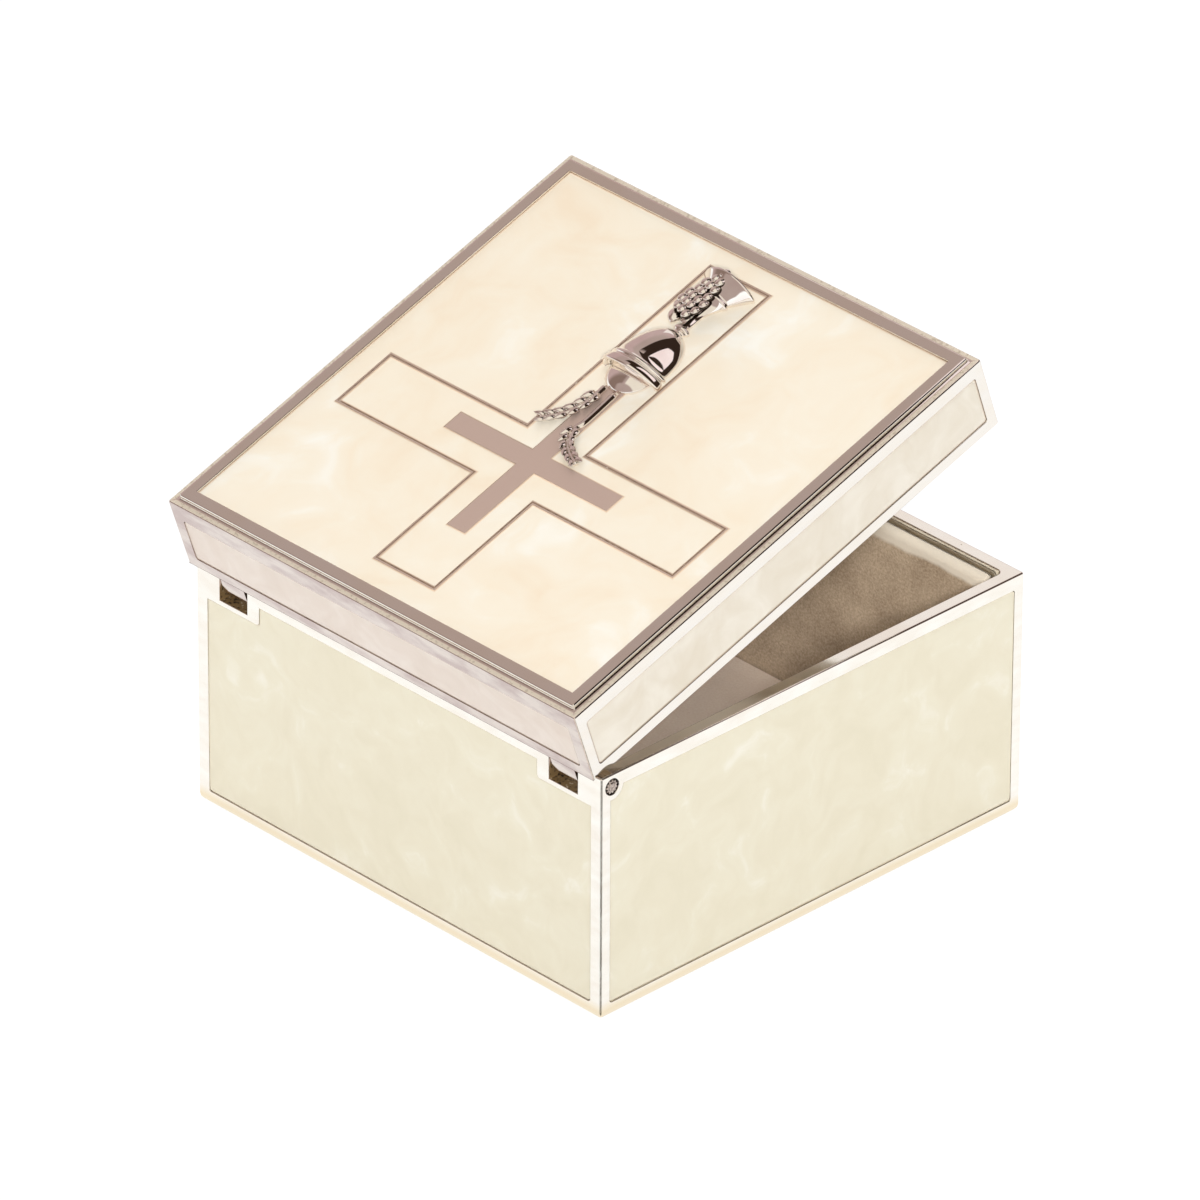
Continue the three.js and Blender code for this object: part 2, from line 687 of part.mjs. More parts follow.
// An ear of wheat: a round stalk and pairs of grains set herringbone along it, up to a forked tip.
function wheatEar(lineShares, startShare) {
  const foot = [lineShares[0][0], hostPlaceShare - hostRadiusShare - solderGap / crossLength];
  const line = new THREE.CatmullRomCurve3(
    [foot, ...lineShares].map((place) => new THREE.Vector3(...emblemPoint(...place), emblemBase)),
  );
  const stalkRadius = stalkRadiusShare * crossLength;
  const length = grainLengthShare * crossLength;
  const width = grainWidthShare * crossLength;
  const section = new THREE.Shape().absarc(0, 0, stalkRadius, 0, 2 * Math.PI);
  const options = { steps: 24, extrudePath: line, bevelEnabled: false, curveSegments: 4 };
  let ear = solid(new THREE.ExtrudeGeometry(section, options));
  for (let i = 0; i < grainPairs; i++) {
    const share = startShare + ((earEndShare - startShare) * i) / (grainPairs - 1);
    const place = line.getPointAt(share);
    const heading = line.getTangentAt(share);
    const turn = Math.atan2(heading.y, heading.x) - quarter;
    const size = 1 - (grainTaperShare * i) / grainPairs;
    const raise = grainRaiseShare * stalkRadius;
    for (const sign of [-1, 1]) {
      const kernel = grain(length * size, width * size).rotateX(grainLiftAngle);
      kernel.translate(sign * grainAsideShare * stalkRadius, 0, 0).rotateZ(turn - sign * grainSplayAngle);
      ear = ear.add(solid(kernel.translate(place.x, place.y, place.z + raise)));
    }
  }
  return aboveTop(ear);
}

// A vine leaf as a low pointed dome.
function leaf({ across, along, length, width, turnAngle }) {
  const [x, y] = emblemPoint(across, along);
  const dome = new THREE.SphereGeometry(1, 12, 8).rotateX(quarter);
  dome.scale(width * crossLength, length * crossLength, width * crossLength);
  return solid(dome.rotateZ(turnAngle).translate(x, y, emblemBase));
}

// The bunch of grapes: rows of berries that climb over the foot, each carried down to the lid's top.
function grapes() {
  const radius = berryRadiusShare * crossLength;
  const pitch = berryPitchShare * crossLength;
  const start = new THREE.Vector2(...emblemPoint(...bunchShares.root));
  const end = new THREE.Vector2(...emblemPoint(...bunchShares.tip));
  const across = end.clone().sub(start).normalize().rotateAround(new THREE.Vector2(), quarter);
  let bunch = solid(new THREE.SphereGeometry(radius, 6, 4).translate(start.x, start.y, emblemBase));
  berryRowCounts.forEach((count, row) => {
    const share = row / (berryRowCounts.length - 1);
    const middle = start.clone().lerp(end, share);
    for (let i = 0; i < count; i++) {
      const aside = i - (count - 1) / 2;
      const place = middle.clone().addScaledVector(across, aside * pitch);
      const crown = 1 - ((2 * aside) / (count + 1)) ** 2;
      const height = radius * (1 + berryClimbShare * share + berryCrownShare * crown);
      const points = [[0, -weld], [radius, -weld], [radius, height]];
      for (const angle of berryDomeAngles) {
        points.push([radius * Math.cos(angle), height + radius * Math.sin(angle)]);
      }
      points.push([0, height + radius]);
      const berry = new THREE.LatheGeometry(points.map(([r, z]) => new THREE.Vector2(r, z)), 8);
      bunch = bunch.add(solid(berry.rotateX(quarter).translate(place.x, place.y, emblemBase)));
    }
  });
  for (const shares of leafShares) bunch = bunch.add(leaf(shares));
  return aboveTop(bunch.subtract(chalice(solderGap)));
}

const box = new THREE.Group();
box.add(piece("box_body", bodyCasting(), plate));
for (const side of Object.keys(walls)) {
  box.add(piece(`enamel_${side}`, bodyPanel(side, enamelSeam), pearlEnamel));
  box.add(piece(`lining_${side}`, bodyLining(side), flock));
}
box.add(piece("lining_floor", floorBoard(), flock));
box.add(piece("base_felt", upright(feltOutline(liningFit), 0, feltProud + feltDeep), baseFelt));
box.add(piece("hinge_pin_left", hingePin(-1), steel));
box.add(piece("hinge_pin_right", hingePin(1), steel));

// The lid's pieces are drawn shut, and the turned group carries them about the pins.
const lidPieces = new THREE.Group();
lidPieces.position.set(lidOffset, -pinY, -pinZ);
lidPieces.add(piece("lid_shell", lidCasting(), plate));
for (const side of Object.keys(walls)) {
  lidPieces.add(piece(`lid_enamel_${side}`, lidPanel(side, enamelSeam), pearlEnamel));
}
lidPieces.add(piece("lid_enamel_field", outerField(), pearlEnamel));
lidPieces.add(piece("lid_enamel_cross", innerField(), pearlEnamel));
lidPieces.add(piece("lid_lining_ceiling", lidCeiling(), flock));
lidPieces.add(piece("lid_lining_band", lidBand(), flock));
lidPieces.add(piece("chalice", chalice(0), brightPlate));
lidPieces.add(piece("host", host(), brightPlate));
lidPieces.add(piece("grape_cluster", grapes(), brightPlate));
lidPieces.add(piece("wheat_ear_left", wheatEar(leftEarShares, earStartShares.left), brightPlate));
lidPieces.add(piece("wheat_ear_right", wheatEar(rightEarShares, earStartShares.right), brightPlate));

const lid = new THREE.Group();
lid.position.set(0, pinY, pinZ);
lid.rotation.x = -openAngle * degree;
lid.add(lidPieces);
box.add(lid);

export default box;
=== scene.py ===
# Keepsake box in Blender: plated castings, pearl enamel, flocked lining and a relief emblem.
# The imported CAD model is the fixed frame. Lengths are in millimetres until a mesh is made.
import json
import math
import random

import bmesh
import bpy
from mathutils import Matrix, Vector


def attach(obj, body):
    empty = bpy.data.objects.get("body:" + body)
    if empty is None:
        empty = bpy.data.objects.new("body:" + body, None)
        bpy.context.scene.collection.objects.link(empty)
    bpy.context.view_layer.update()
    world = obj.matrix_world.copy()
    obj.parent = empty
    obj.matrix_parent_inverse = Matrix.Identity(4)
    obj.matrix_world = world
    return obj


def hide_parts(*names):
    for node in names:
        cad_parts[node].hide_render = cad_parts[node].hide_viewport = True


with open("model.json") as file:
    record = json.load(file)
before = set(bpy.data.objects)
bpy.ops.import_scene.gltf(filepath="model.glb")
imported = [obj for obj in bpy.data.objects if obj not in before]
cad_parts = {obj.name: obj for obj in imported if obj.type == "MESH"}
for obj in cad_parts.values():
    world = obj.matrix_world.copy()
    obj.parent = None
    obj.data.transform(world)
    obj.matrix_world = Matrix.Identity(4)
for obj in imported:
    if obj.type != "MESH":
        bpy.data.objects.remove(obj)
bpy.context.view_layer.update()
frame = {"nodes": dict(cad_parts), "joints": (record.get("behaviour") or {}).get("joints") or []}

MM = 0.001
scene = bpy.context.scene
nodes = frame["nodes"]
hinge = frame["joints"][0]
pin = Vector(hinge["pos_m"]) / MM
ajar = math.radians(-hinge["range_deg"][0])

# Shut to ajar: how the lid stands at rest, in millimetres
lid_turn = Matrix.Translation(pin) @ Matrix.Rotation(-ajar, 4, "X") @ Matrix.Translation(-pin)
lid_turn_back = lid_turn.inverted()


def shut_points(name):
    """A lid node's corners with the lid shut, in millimetres."""
    return [lid_turn_back @ (vertex.co / MM) for vertex in nodes[name].data.vertices]


def shut_box(name):
    """Lowest and highest corner of a lid node with the lid shut, in millimetres."""
    points = shut_points(name)
    low = Vector(min(point[axis] for point in points) for axis in range(3))
    high = Vector(max(point[axis] for point in points) for axis in range(3))
    return low, high


lid_low, lid_high = shut_box("lid_shell")
lid_middle = (lid_low.x + lid_high.x) / 2
emblem_base = shut_box("chalice")[0].z
enamel_top = shut_box("lid_enamel_field")[1].z


# Camera and stage

view_azimuth = 226.051  # degrees, 0 looks along +Y
view_elevation = 30.304
view_roll = 0.259
view_distance = 1869.6
view_aim = (-1.17, 27.08)  # right and up from the box's origin, across the view
view_lens = 428.1
sensor = 36
far_clip = 20  # metres


def make_camera():
    turn, tilt = math.radians(view_azimuth), math.radians(view_elevation)
    across = Vector((math.cos(turn), math.sin(turn), 0))
    level = math.cos(tilt)
    back = Vector((math.sin(turn) * level, -math.cos(turn) * level, math.sin(tilt)))
    roll = Matrix.Rotation(math.radians(view_roll), 3, back)
    right = roll @ across
    up = roll @ back.cross(across)
    place = back * view_distance + right * view_aim[0] + up * view_aim[1]
    axes = Matrix((right, up, back)).transposed().to_4x4()
    camera = bpy.data.objects.new("camera", bpy.data.cameras.new("camera"))
    camera.data.lens = view_lens
    camera.data.sensor_width = sensor
    camera.data.clip_end = far_clip
    camera.matrix_world = Matrix.Translation(place * MM) @ axes
    scene.collection.objects.link(camera)
    scene.camera = camera


def srgb(code):
    """A hex colour as linear RGBA."""
    channels = [int(code[i:i + 2], 16) / 255 for i in (1, 3, 5)]
    linear = [c / 12.92 if c <= 0.04045 else ((c + 0.055) / 1.055) ** 2.4 for c in channels]
    return (*linear, 1)


def node(tree, kind, links=None, stops=None, **settings):
    """Adds a shader node. links gives an input a value, an output or a node's first output."""
    made = tree.nodes.new("ShaderNode" + kind)
    for name, value in settings.items():
        setattr(made, name, value)
    for name, value in (links or {}).items():
        if isinstance(value, bpy.types.Node):
            value = value.outputs[0]
        if isinstance(value, bpy.types.NodeSocket):
            tree.links.new(value, made.inputs[name])
        else:
            made.inputs[name].default_value = value
    if stops:
        elements = made.color_ramp.elements
        while len(elements) < len(stops):
            elements.new(1)
        for element, (place, code) in zip(elements, stops):
            element.position = place
            element.color = srgb(code)
    return made


world_level = 0.36
rose_room = "#C2AAA8"
dark_room = "#33261F"
slant_share = 0.58  # slant is X less this share of Y
# The room that mirrors see. Each colour takes over where a mirror's direction passes from the first
# number to the second along one axis, and does the same along another.
room_parts = [
    ("z", 0.5, 0.75, "z", 0.5, 0.75, "#B3A19B"),
    ("y", 0.2, 0.5, "x", 0.1, 0.3, "#8A756C"),
    ("y", -0.03, 0.03, "x", 0.1, 0.0, "#EFE8DA"),
    ("y", 0.74, 0.82, "x", 0.6, 0.4, "#B3A19B"),
    ("y", -0.19, -0.24, "slant", 0.5, 0.47, dark_room),
    ("y", -0.02, -0.05, "x", 0.09, 0.05, dark_room),
    ("z", 0.2, 0.1, "y", -0.5, -0.6, "#B3A19B"),
]


def make_world():
    """Even white light, and for mirrors a room with mauve walls, a cream part and a dark corner."""
    world = bpy.data.worlds.new("studio")
    scene.world = world
    world.use_nodes = True
    tree = world.node_tree
    tree.nodes.clear()
    direction = node(tree, "TexCoord").outputs["Generated"]
    parts = node(tree, "SeparateXYZ", {0: direction}).outputs
    slant = node(
        tree, "Math", {0: parts["Y"], 1: -slant_share, 2: parts["X"]}, operation="MULTIPLY_ADD",
    ).outputs[0]
    values = {"x": parts["X"], "y": parts["Y"], "z": parts["Z"], "slant": slant}
    walls = srgb(rose_room)
    for axis, start, end, other_axis, other_start, other_end, code in room_parts:
        one = node(
            tree, "MapRange", {0: values[axis], 1: start, 2: end}, interpolation_type="SMOOTHSTEP",
        )
        other = node(
            tree, "MapRange", {0: values[other_axis], 1: other_start, 2: other_end},
            interpolation_type="SMOOTHSTEP",
        )
        both = node(tree, "Math", {0: one, 1: other}, operation="MULTIPLY")
        walls = node(tree, "MixRGB", {0: both, 1: walls, 2: srgb(code)})
    rise = node(tree, "MapRange", {0: parts["Z"], 1: -0.02, 2: 0.02})
    around = node(tree, "MixRGB", {0: rise, 1: srgb("#FFFFFF"), 2: walls})
    rays = node(tree, "LightPath").outputs
    mirrored = node(
        tree, "Math", {0: rays["Is Glossy Ray"], 1: rays["Is Transmission Ray"]},
        operation="MAXIMUM",
    )
    light = node(tree, "Background", {"Color": srgb("#FFFFFF"), "Strength": world_level})
    gloss = node(tree, "Background", {"Color": around})
    seen = node(tree, "Background", {"Color": srgb("#FFFFFF")})
    lit = node(tree, "MixShader", {0: mirrored, 1: light, 2: gloss})
    shown = node(tree, "MixShader", {0: rays["Is Camera Ray"], 1: lit, 2: seen})
    node(tree, "OutputWorld", {"Surface": shown})


floor_size = 6  # metres
paper_share = 0.8  # how far the camera, mirrors and glass see plain white, not lit paper
paper_glow = 1.1


def make_floor():
    """White paper sweep that keeps a faint shadow."""
    paper = bpy.data.materials.new("white_paper")
    paper.use_nodes = True
    tree = paper.node_tree
    tree.nodes.clear()
    rays = node(tree, "LightPath").outputs
    seen = node(
        tree, "Math", {0: rays["Is Camera Ray"], 1: rays["Is Glossy Ray"]}, operation="MAXIMUM",
    )
    through = node(tree, "Math", {0: seen, 1: rays["Is Transmission Ray"]}, operation="MAXIMUM")
    share = node(tree, "Math", {0: through, 1: paper_share}, operation="MULTIPLY")
    plain = node(tree, "BsdfDiffuse", {"Color": srgb("#F4F4F4")})
    glow = node(tree, "Emission", {"Color": srgb("#FFFFFF"), "Strength": paper_glow})
    both = node(tree, "MixShader", {0: share, 1: plain, 2: glow})
    node(tree, "OutputMaterial", {"Surface": both})
    bpy.ops.mesh.primitive_plane_add(size=floor_size)
    floor = bpy.context.object
    floor.name = "floor"
    floor.data.materials.append(paper)


cards = [  # name, colour, and corners in millimetres
    ("front_card", "#F3ECE9", [(75, -103, 88), (37, -143, 88), (21, -127, 127), (59, -87, 127)]),
    ("window", "#FBECEC", [
        (-16, -20, 135), (-21, -45, 111), (-31, -53, 97),
        (-43, -48, 91), (-57, -33, 92), (-41, -28, 109),
    ]),
    ("dark_corner", "#4A4438", [(-158, 38, 0), (-38, 38, 0), (-38, 158, 0), (-158, 158, 0)]),
]
lamps = [  # name, place in metres, size, power
    ("flash", (-1.366, 1.32, 1.11), 0.3, 38),
    ("fill", (1.6, -1.4, 1.6), 1.4, 20),
    ("low_fill", (1.9, -1.7, 0.45), 1.4, 34),
]


def make_card(name, code, corners):
    """A card beside the box that only its mirrors see."""
    plain = bpy.data.materials.new(name)
    plain.use_nodes = True
    plain.node_tree.nodes.clear()
    glow = node(plain.node_tree, "Emission", {"Color": srgb(code), "Strength": 1})
    node(plain.node_tree, "OutputMaterial", {"Surface": glow})
    mesh = bpy.data.meshes.new(name)
    mesh.from_pydata([Vector(corner) * MM for corner in corners], [], [range(len(corners))])
    mesh.materials.append(plain)
    card = bpy.data.objects.new(name, mesh)
    scene.collection.objects.link(card)
    card.visible_camera = False
    card.visible_diffuse = False
    card.visible_shadow = False


def make_lamp(name, place, size, power):
    lamp = bpy.data.objects.new(name, bpy.data.lights.new(name, "AREA"))
    lamp.data.shape = "SQUARE"
    lamp.data.size = size
    lamp.data.energy = power
    lamp.location = place
    lamp.rotation_euler = (-Vector(place)).to_track_quat("-Z", "Y").to_euler()
    lamp.visible_glossy = False
    scene.collection.objects.link(lamp)


# Materials

def new_material(name):
    material = bpy.data.materials.new(name)
    material.use_nodes = True
    tree = material.node_tree
    shader = tree.nodes["Principled BSDF"]
    return material, tree, shader


cloud_size = 2.2  # mm, the patches in the plate's own tone and in its painted mauve reflection
pit_spacing = 1.7  # mm between the casting's small pits
ripple_length = 14  # mm, the slight waves that polishing leaves in a flat face
crumb_size = 0.5  # mm, the crumbs of dried polish
warm_reflection_band = (3, 1.6)  # mm above the table, where a painted warm reflection of the floor beside the box fades in


def plated_casting(name, dull_code, dark_code):
    """Silver plate over polished zinc: a bright warm mirror with small pits, with a painted mauve
    reflection in places and a painted warm reflection near the table. Where the wheel can't reach,
    polish stays behind as a dull beige coat;
    a thin coat takes the colour of a painted mauve reflection."""
    material, tree, shader = new_material(name)
    place = node(tree, "TexCoord").outputs["Object"]
    height = node(tree, "SeparateXYZ", {0: place}).outputs["Z"]
    streak = node(tree, "Mapping", {"Vector": place, "Scale": (0.35, 0.35, 1)})
    cloud = node(tree, "TexNoise", {"Vector": streak, "Scale": 1 / (cloud_size * MM), "Detail": 4})
    painted_reflection = node(tree, "Attribute", attribute_name="painted_reflection").outputs["Fac"]
    patch = node(tree, "MapRange", {0: cloud, 1: 0.4, 2: 0.62, 3: 0.55, 4: 1})
    share = node(tree, "Math", {0: painted_reflection, 1: patch}, operation="MULTIPLY")
    plain = node(tree, "ValToRGB", {0: cloud}, stops=[(0.35, "#F6F0E6"), (0.65, "#FBF8F1")])
    # Painted warm reflection of the floor beside the box, near the table
    foot = node(
        tree, "MapRange", {0: height, 1: warm_reflection_band[0] * MM, 2: warm_reflection_band[1] * MM, 3: 0, 4: 0.95},
    )
    warm_reflected = node(tree, "MixRGB", {0: foot, 1: plain, 2: srgb("#F0E1C4")})
    # Painted mauve reflection (#C4B3AF), laid on in patches where the painted_reflection layer asks
    tone = node(tree, "MixRGB", {0: share, 1: warm_reflected, 2: srgb("#C4B3AF")})

    spots = node(tree, "TexVoronoi", {"Vector": place, "Scale": 1 / (pit_spacing * MM)}).outputs
    chance = node(tree, "SeparateXYZ", {0: spots["Color"]})
    size = node(tree, "MapRange", {0: chance, 1: 0.72, 2: 1, 3: 0, 4: 0.075})
    pit = node(tree, "Math", {0: spots["Distance"], 1: size}, operation="LESS_THAN")
    pitted = node(tree, "MixRGB", {0: pit, 1: tone, 2: srgb("#B8A690")})
    ripple = node(
        tree, "TexNoise", {"Vector": place, "Scale": 1 / (ripple_length * MM), "Detail": 1},
    )
    waves = node(tree, "Bump", {"Height": ripple, "Strength": 0.4, "Distance": 0.05 * MM})
    dents = node(
        tree, "Bump", {"Height": pit, "Strength": 0.5, "Distance": -0.03 * MM, "Normal": waves},
    )

    dull = node(tree, "Attribute", attribute_name="dull").outputs["Fac"]
    crumbs = node(tree, "TexNoise", {"Vector": place, "Scale": 1 / (crumb_size * MM), "Detail": 4})
    coat = node(
        tree, "ValToRGB", {0: crumbs},
        stops=[(0.36, dark_code), (0.46, dull_code), (0.62, dull_code), (0.75, "#E8DCC6")],
    )
    thick = node(tree, "MapRange", {0: dull, 1: 0.4, 2: 0.6})
    # CDB4A6 is a painted mauve reflection, the colour of a thin coat such as on the lid's inner
    # cross; a thick coat shows the polish's own colours
    painted_mauve_or_coat = node(tree, "MixRGB", {0: thick, 1: srgb("#CDB4A6"), 2: coat})
    cover = node(tree, "MapRange", {0: dull, 2: 0.3})
    coated = node(tree, "MixRGB", {0: cover, 1: pitted, 2: painted_mauve_or_coat})
    metal = node(tree, "MapRange", {0: dull, 2: 0.4, 3: 1, 4: 0.2})
    rough = node(tree, "MapRange", {0: dull, 2: 0.4, 3: 0.09, 4: 0.4})
    tree.links.new(coated.outputs[0], shader.inputs["Base Color"])
    tree.links.new(dents.outputs[0], shader.inputs["Normal"])
    tree.links.new(metal.outputs[0], shader.inputs["Metallic"])
    tree.links.new(rough.outputs[0], shader.inputs["Roughness"])
    return material


relief_ripple = 3  # mm, the waves in the relief's plate
steel_grain = 0.4  # mm


def bright_plate():
    """The relief's plate, rubbed brighter than the casting: a clean mirror, with painted shade on
    the undersides of berries and grains and on the grapes' mound.
    """
    material, tree, shader = new_material("bright_silver_plate")
    place = node(tree, "TexCoord").outputs["Object"]
    ripple = node(
        tree, "TexNoise", {"Vector": place, "Scale": 1 / (relief_ripple * MM), "Detail": 2},
    )
    tone = node(tree, "ValToRGB", {0: ripple}, stops=[(0.3, "#F2E9E3"), (0.7, "#FBF7F1")])
    waves = node(tree, "Bump", {"Height": ripple, "Strength": 0.3, "Distance": 0.03 * MM})
    # Painted shade, where the painted_shade layer is set
    painted_shade = node(tree, "Attribute", attribute_name="painted_shade").outputs["Fac"]
    shade_painted = node(tree, "MixRGB", {0: painted_shade, 1: tone, 2: srgb("#33261D")})
    tree.links.new(shade_painted.outputs[0], shader.inputs["Base Color"])
    tree.links.new(waves.outputs[0], shader.inputs["Normal"])
    shader.inputs["Metallic"].default_value = 1
    shader.inputs["Roughness"].default_value = 0.05
    return material


def pin_steel():
    """Drawn and knurled steel wire, plated: greyer than the casting, with a brushed end."""
    material, tree, shader = new_material("knurled_pin_steel")
    place = node(tree, "TexCoord").outputs["Object"]
    grain = node(tree, "TexNoise", {"Vector": place, "Scale": 1 / (steel_grain * MM), "Detail": 5})
    tone = node(tree, "ValToRGB", {0: grain}, stops=[(0.3, "#8F7F76"), (0.7, "#D9CCC2")])
    tree.links.new(tone.outputs[0], shader.inputs["Base Color"])
    shader.inputs["Metallic"].default_value = 1
    shader.inputs["Roughness"].default_value = 0.25
    return material


stir_size = 1.6  # of the swirls' own size
stir_push = 3.4


def pearl_enamel(name, shades, rim_shade_code, swirl_size, seed):
    """Cold enamel poured with pearl pigment: glossy and softly stranded, with painted shade along
    its rim where it meets the metal.
    """
    material, tree, shader = new_material(name)
    place = node(tree, "TexCoord").outputs["Object"]
    start = node(tree, "VectorMath", {0: place, 1: (seed, seed, seed)}, operation="ADD")
    stir = node(
        tree, "TexNoise",
        {"Vector": start, "Scale": 1 / (swirl_size * stir_size * MM), "Detail": 2},
    )
    centred = node(
        tree, "VectorMath", {0: stir.outputs["Color"], 1: (0.5, 0.5, 0.5)}, operation="SUBTRACT",
    )
    pushed = node(
        tree, "VectorMath", {0: centred, "Scale": swirl_size * stir_push * MM}, operation="SCALE",
    )
    bent = node(tree, "VectorMath", {0: start, 1: pushed}, operation="ADD")
    cloud = node(
        tree, "TexNoise",
        {"Vector": bent, "Scale": 1 / (swirl_size * MM), "Detail": 4, "Roughness": 0.55},
    )
    colour = node(tree, "ValToRGB", {0: cloud}, stops=shades)
    # Painted shade along the enamel's rim, where it meets the metal
    rim = node(tree, "Attribute", attribute_name="rim").outputs["Fac"]
    edge = node(tree, "MapRange", {0: rim, 1: 0, 2: 0.9}, interpolation_type="SMOOTHSTEP")
    shade_painted = node(tree, "MixRGB", {0: edge, 1: colour, 2: srgb(rim_shade_code)})
    tree.links.new(shade_painted.outputs[0], shader.inputs["Base Color"])
    shader.inputs["Roughness"].default_value = 0.22
    shader.inputs["IOR"].default_value = 1.45
    return material


nap_size = 0.35  # mm
patch_size = 6  # mm, the flock's lighter and darker places
light_band = (33.7, 34.5)  # mm above the table, where the flock turns lighter in a band


def flock(name, shades):
    """Short nylon flock on card: matt and speckled, lighter in a band along its upper edge."""
    material, tree, shader = new_material(name)
    place = node(tree, "TexCoord").outputs["Object"]
    nap = node(
        tree, "TexNoise",
        {"Vector": place, "Scale": 1 / (nap_size * MM), "Detail": 4, "Roughness": 0.7},
    )
    patch = node(tree, "TexNoise", {"Vector": place, "Scale": 1 / (patch_size * MM), "Detail": 2})
    both = node(tree, "MixRGB", {0: 0.35, 1: nap, 2: patch})
    colour = node(tree, "ValToRGB", {0: both}, stops=shades)
    height = node(tree, "SeparateXYZ", {0: place}).outputs["Z"]
    uneven = node(tree, "Math", {0: patch, 1: 1.2 * MM, 2: height}, operation="MULTIPLY_ADD")
    edge = node(
        tree, "MapRange", {0: uneven, 1: light_band[0] * MM, 2: light_band[1] * MM, 4: 0.85},
        interpolation_type="SMOOTHSTEP",
    )
    banded = node(tree, "MixRGB", {0: edge, 1: colour, 2: srgb("#EFE5D3")})
    fibres = node(tree, "Bump", {"Height": nap, "Strength": 0.8, "Distance": 0.06 * MM})
    tree.links.new(banded.outputs[0], shader.inputs["Base Color"])
    tree.links.new(fibres.outputs[0], shader.inputs["Normal"])
    shader.inputs["Roughness"].default_value = 1
    shader.inputs["Sheen Weight"].default_value = 0.3
    return material


# Shapes

weld_distance = 0.0005
flat_angle = math.radians(0.5)
sharp_angle = math.radians(28)
board_edge_angle = math.radians(50)


def place_mesh(name, mesh, material, body, turned=False, smooth=True):
    """Brings a millimetre mesh into the frame, ajar with the lid if turned, and lets it ride."""
    if turned:
        mesh.transform(lid_turn)
    mesh.transform(Matrix.Scale(MM, 4))
    mesh.materials.clear()
    mesh.materials.append(material)
    if smooth:
        mesh.shade_smooth()
    piece = bpy.data.objects.new(name, mesh)
    scene.collection.objects.link(piece)
    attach(piece, body)
    return piece


def place_relief(form, name, node_name):
    """Places a piece of the emblem for its CAD node."""
    mesh = finished_mesh(form, name)
    piece = place_mesh(name, mesh, emblem_metal, "lid", turned=True)
    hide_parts(node_name)


def add_loft(form, rings, painted_shade=None, share=1):
    """Joins closed rings of as many points each into one skin, with both ends capped.
    A painted shade layer, if given, is set to share on every corner.
    """
    rows = [[form.verts.new(point) for point in ring] for ring in rings]
    for one, other in zip(rows, rows[1:]):
        for i, corner in enumerate(one):
            form.faces.new((one[i - 1], corner, other[i], other[i - 1]))
    form.faces.new(rows[0])
    form.faces.new(reversed(rows[-1]))
    if painted_shade:
        for corner in sum(rows, []):
            corner[painted_shade] = share


def finished_mesh(form, name):
    bmesh.ops.recalc_face_normals(form, faces=form.faces)
    mesh = bpy.data.meshes.new(name)
    form.to_mesh(mesh)
    form.free()
    return mesh


def cad_form(node_name):
    """A CAD node's form in millimetres, its flat faces whole again."""
    form = bmesh.new()
    form.from_mesh(nodes[node_name].data)
    bmesh.ops.scale(form, vec=(1 / MM,) * 3, verts=form.verts)
    bmesh.ops.remove_doubles(form, verts=form.verts, dist=weld_distance)
    bmesh.ops.dissolve_limit(form, angle_limit=flat_angle, verts=form.verts, edges=form.edges)
    return form


def ease_edges(form, angle, offset, segments):
    sharp = [e for e in form.edges if e.calc_face_angle(0) > angle]
    bmesh.ops.bevel(form, geom=sharp, offset=offset, segments=segments, profile=0.5, affect="EDGES")


def eased_casting(node_name, edge, material, body, finish, reshape=None):
    """A casting's own CAD form with its sharp edges rounded, as polishing leaves them."""
    form = cad_form(node_name)
    if reshape:
        reshape(form)
    ease_edges(form, sharp_angle, edge, 2)
    reflection_layer = form.verts.layers.float.new("painted_reflection")
    dull_layer = form.verts.layers.float.new("dull")
    for corner in form.verts:
        corner[reflection_layer], corner[dull_layer] = finish(corner.co)
    name = node_name + "_eased"
    piece = place_mesh(name, finished_mesh(form, name), material, body)
    smooth = piece.modifiers.new("face_weighted_shading", "WEIGHTED_NORMAL")
    smooth.keep_sharp = True
    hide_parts(node_name)


half_side = 38  # from the middle of the body or lid to its outer faces
moulding_moves = [  # a CAD line's distance in from the side and its height, then the new ones
    (1.25, 48.8, 1.5, 48.8), (1.05, 48.7, 1.2, 48.7), (1.05, 48.5, 0.97, 48.48),
    (1.02, 48.33, 0.85, 48.25), (0.92, 48.18, 0.78, 48.14), (0.77, 48.08, 0.68, 48.08),
    (0.6, 48.05, 0.55, 48.05),
]


def sides_away(shut):
    """How far a place on the shut lid is in from its X side and from its Y side."""
    return half_side - abs(shut.x - lid_middle), half_side - abs(shut.y)


def rounded_frame(form):
    """Moves the lid's moulding lines: a round crest beside the frame, then a shallow hollow."""
    for corner in form.verts:
        shut = lid_turn_back @ corner.co
        inward = min(sides_away(shut))
        for line_in, line_up, new_in, new_up in moulding_moves:
            if abs(inward - line_in) < 0.12 and abs(shut.z - line_up) < 0.02:
                shut.x -= math.copysign(new_in - line_in, shut.x - lid_middle)
                shut.y -= math.copysign(new_in - line_in, shut.y)
                shut.z = new_up
                corner.co = lid_turn @ shut
                break


# Where the castings' finish and their painted mauve reflection change. A space is from the middle
# outwards, to the back, and up.
notch_space = ((28.2, 33.7), (30, 37.95), (32.2, 36.2))
lug_space = ((27.5, 34.5), (32, math.inf), (-math.inf, 38.4))
back_face = 37.85
lower_edge = 36.6
corner_width = 0.12
hollow_height = 48
hollow_width = 0.8
hollow_rim = 0.3
# Inside the cross's outline the lid's top takes a thin coat coloured as a painted mauve reflection
cross_height = 48.5
cross_inward = 5


def within(place, space):
    """Whether a place, on either side of the middle, is inside a space."""
    spot = (abs(place.x), place.y, place.z)
    return all(low < value < high for value, (low, high) in zip(spot, space))


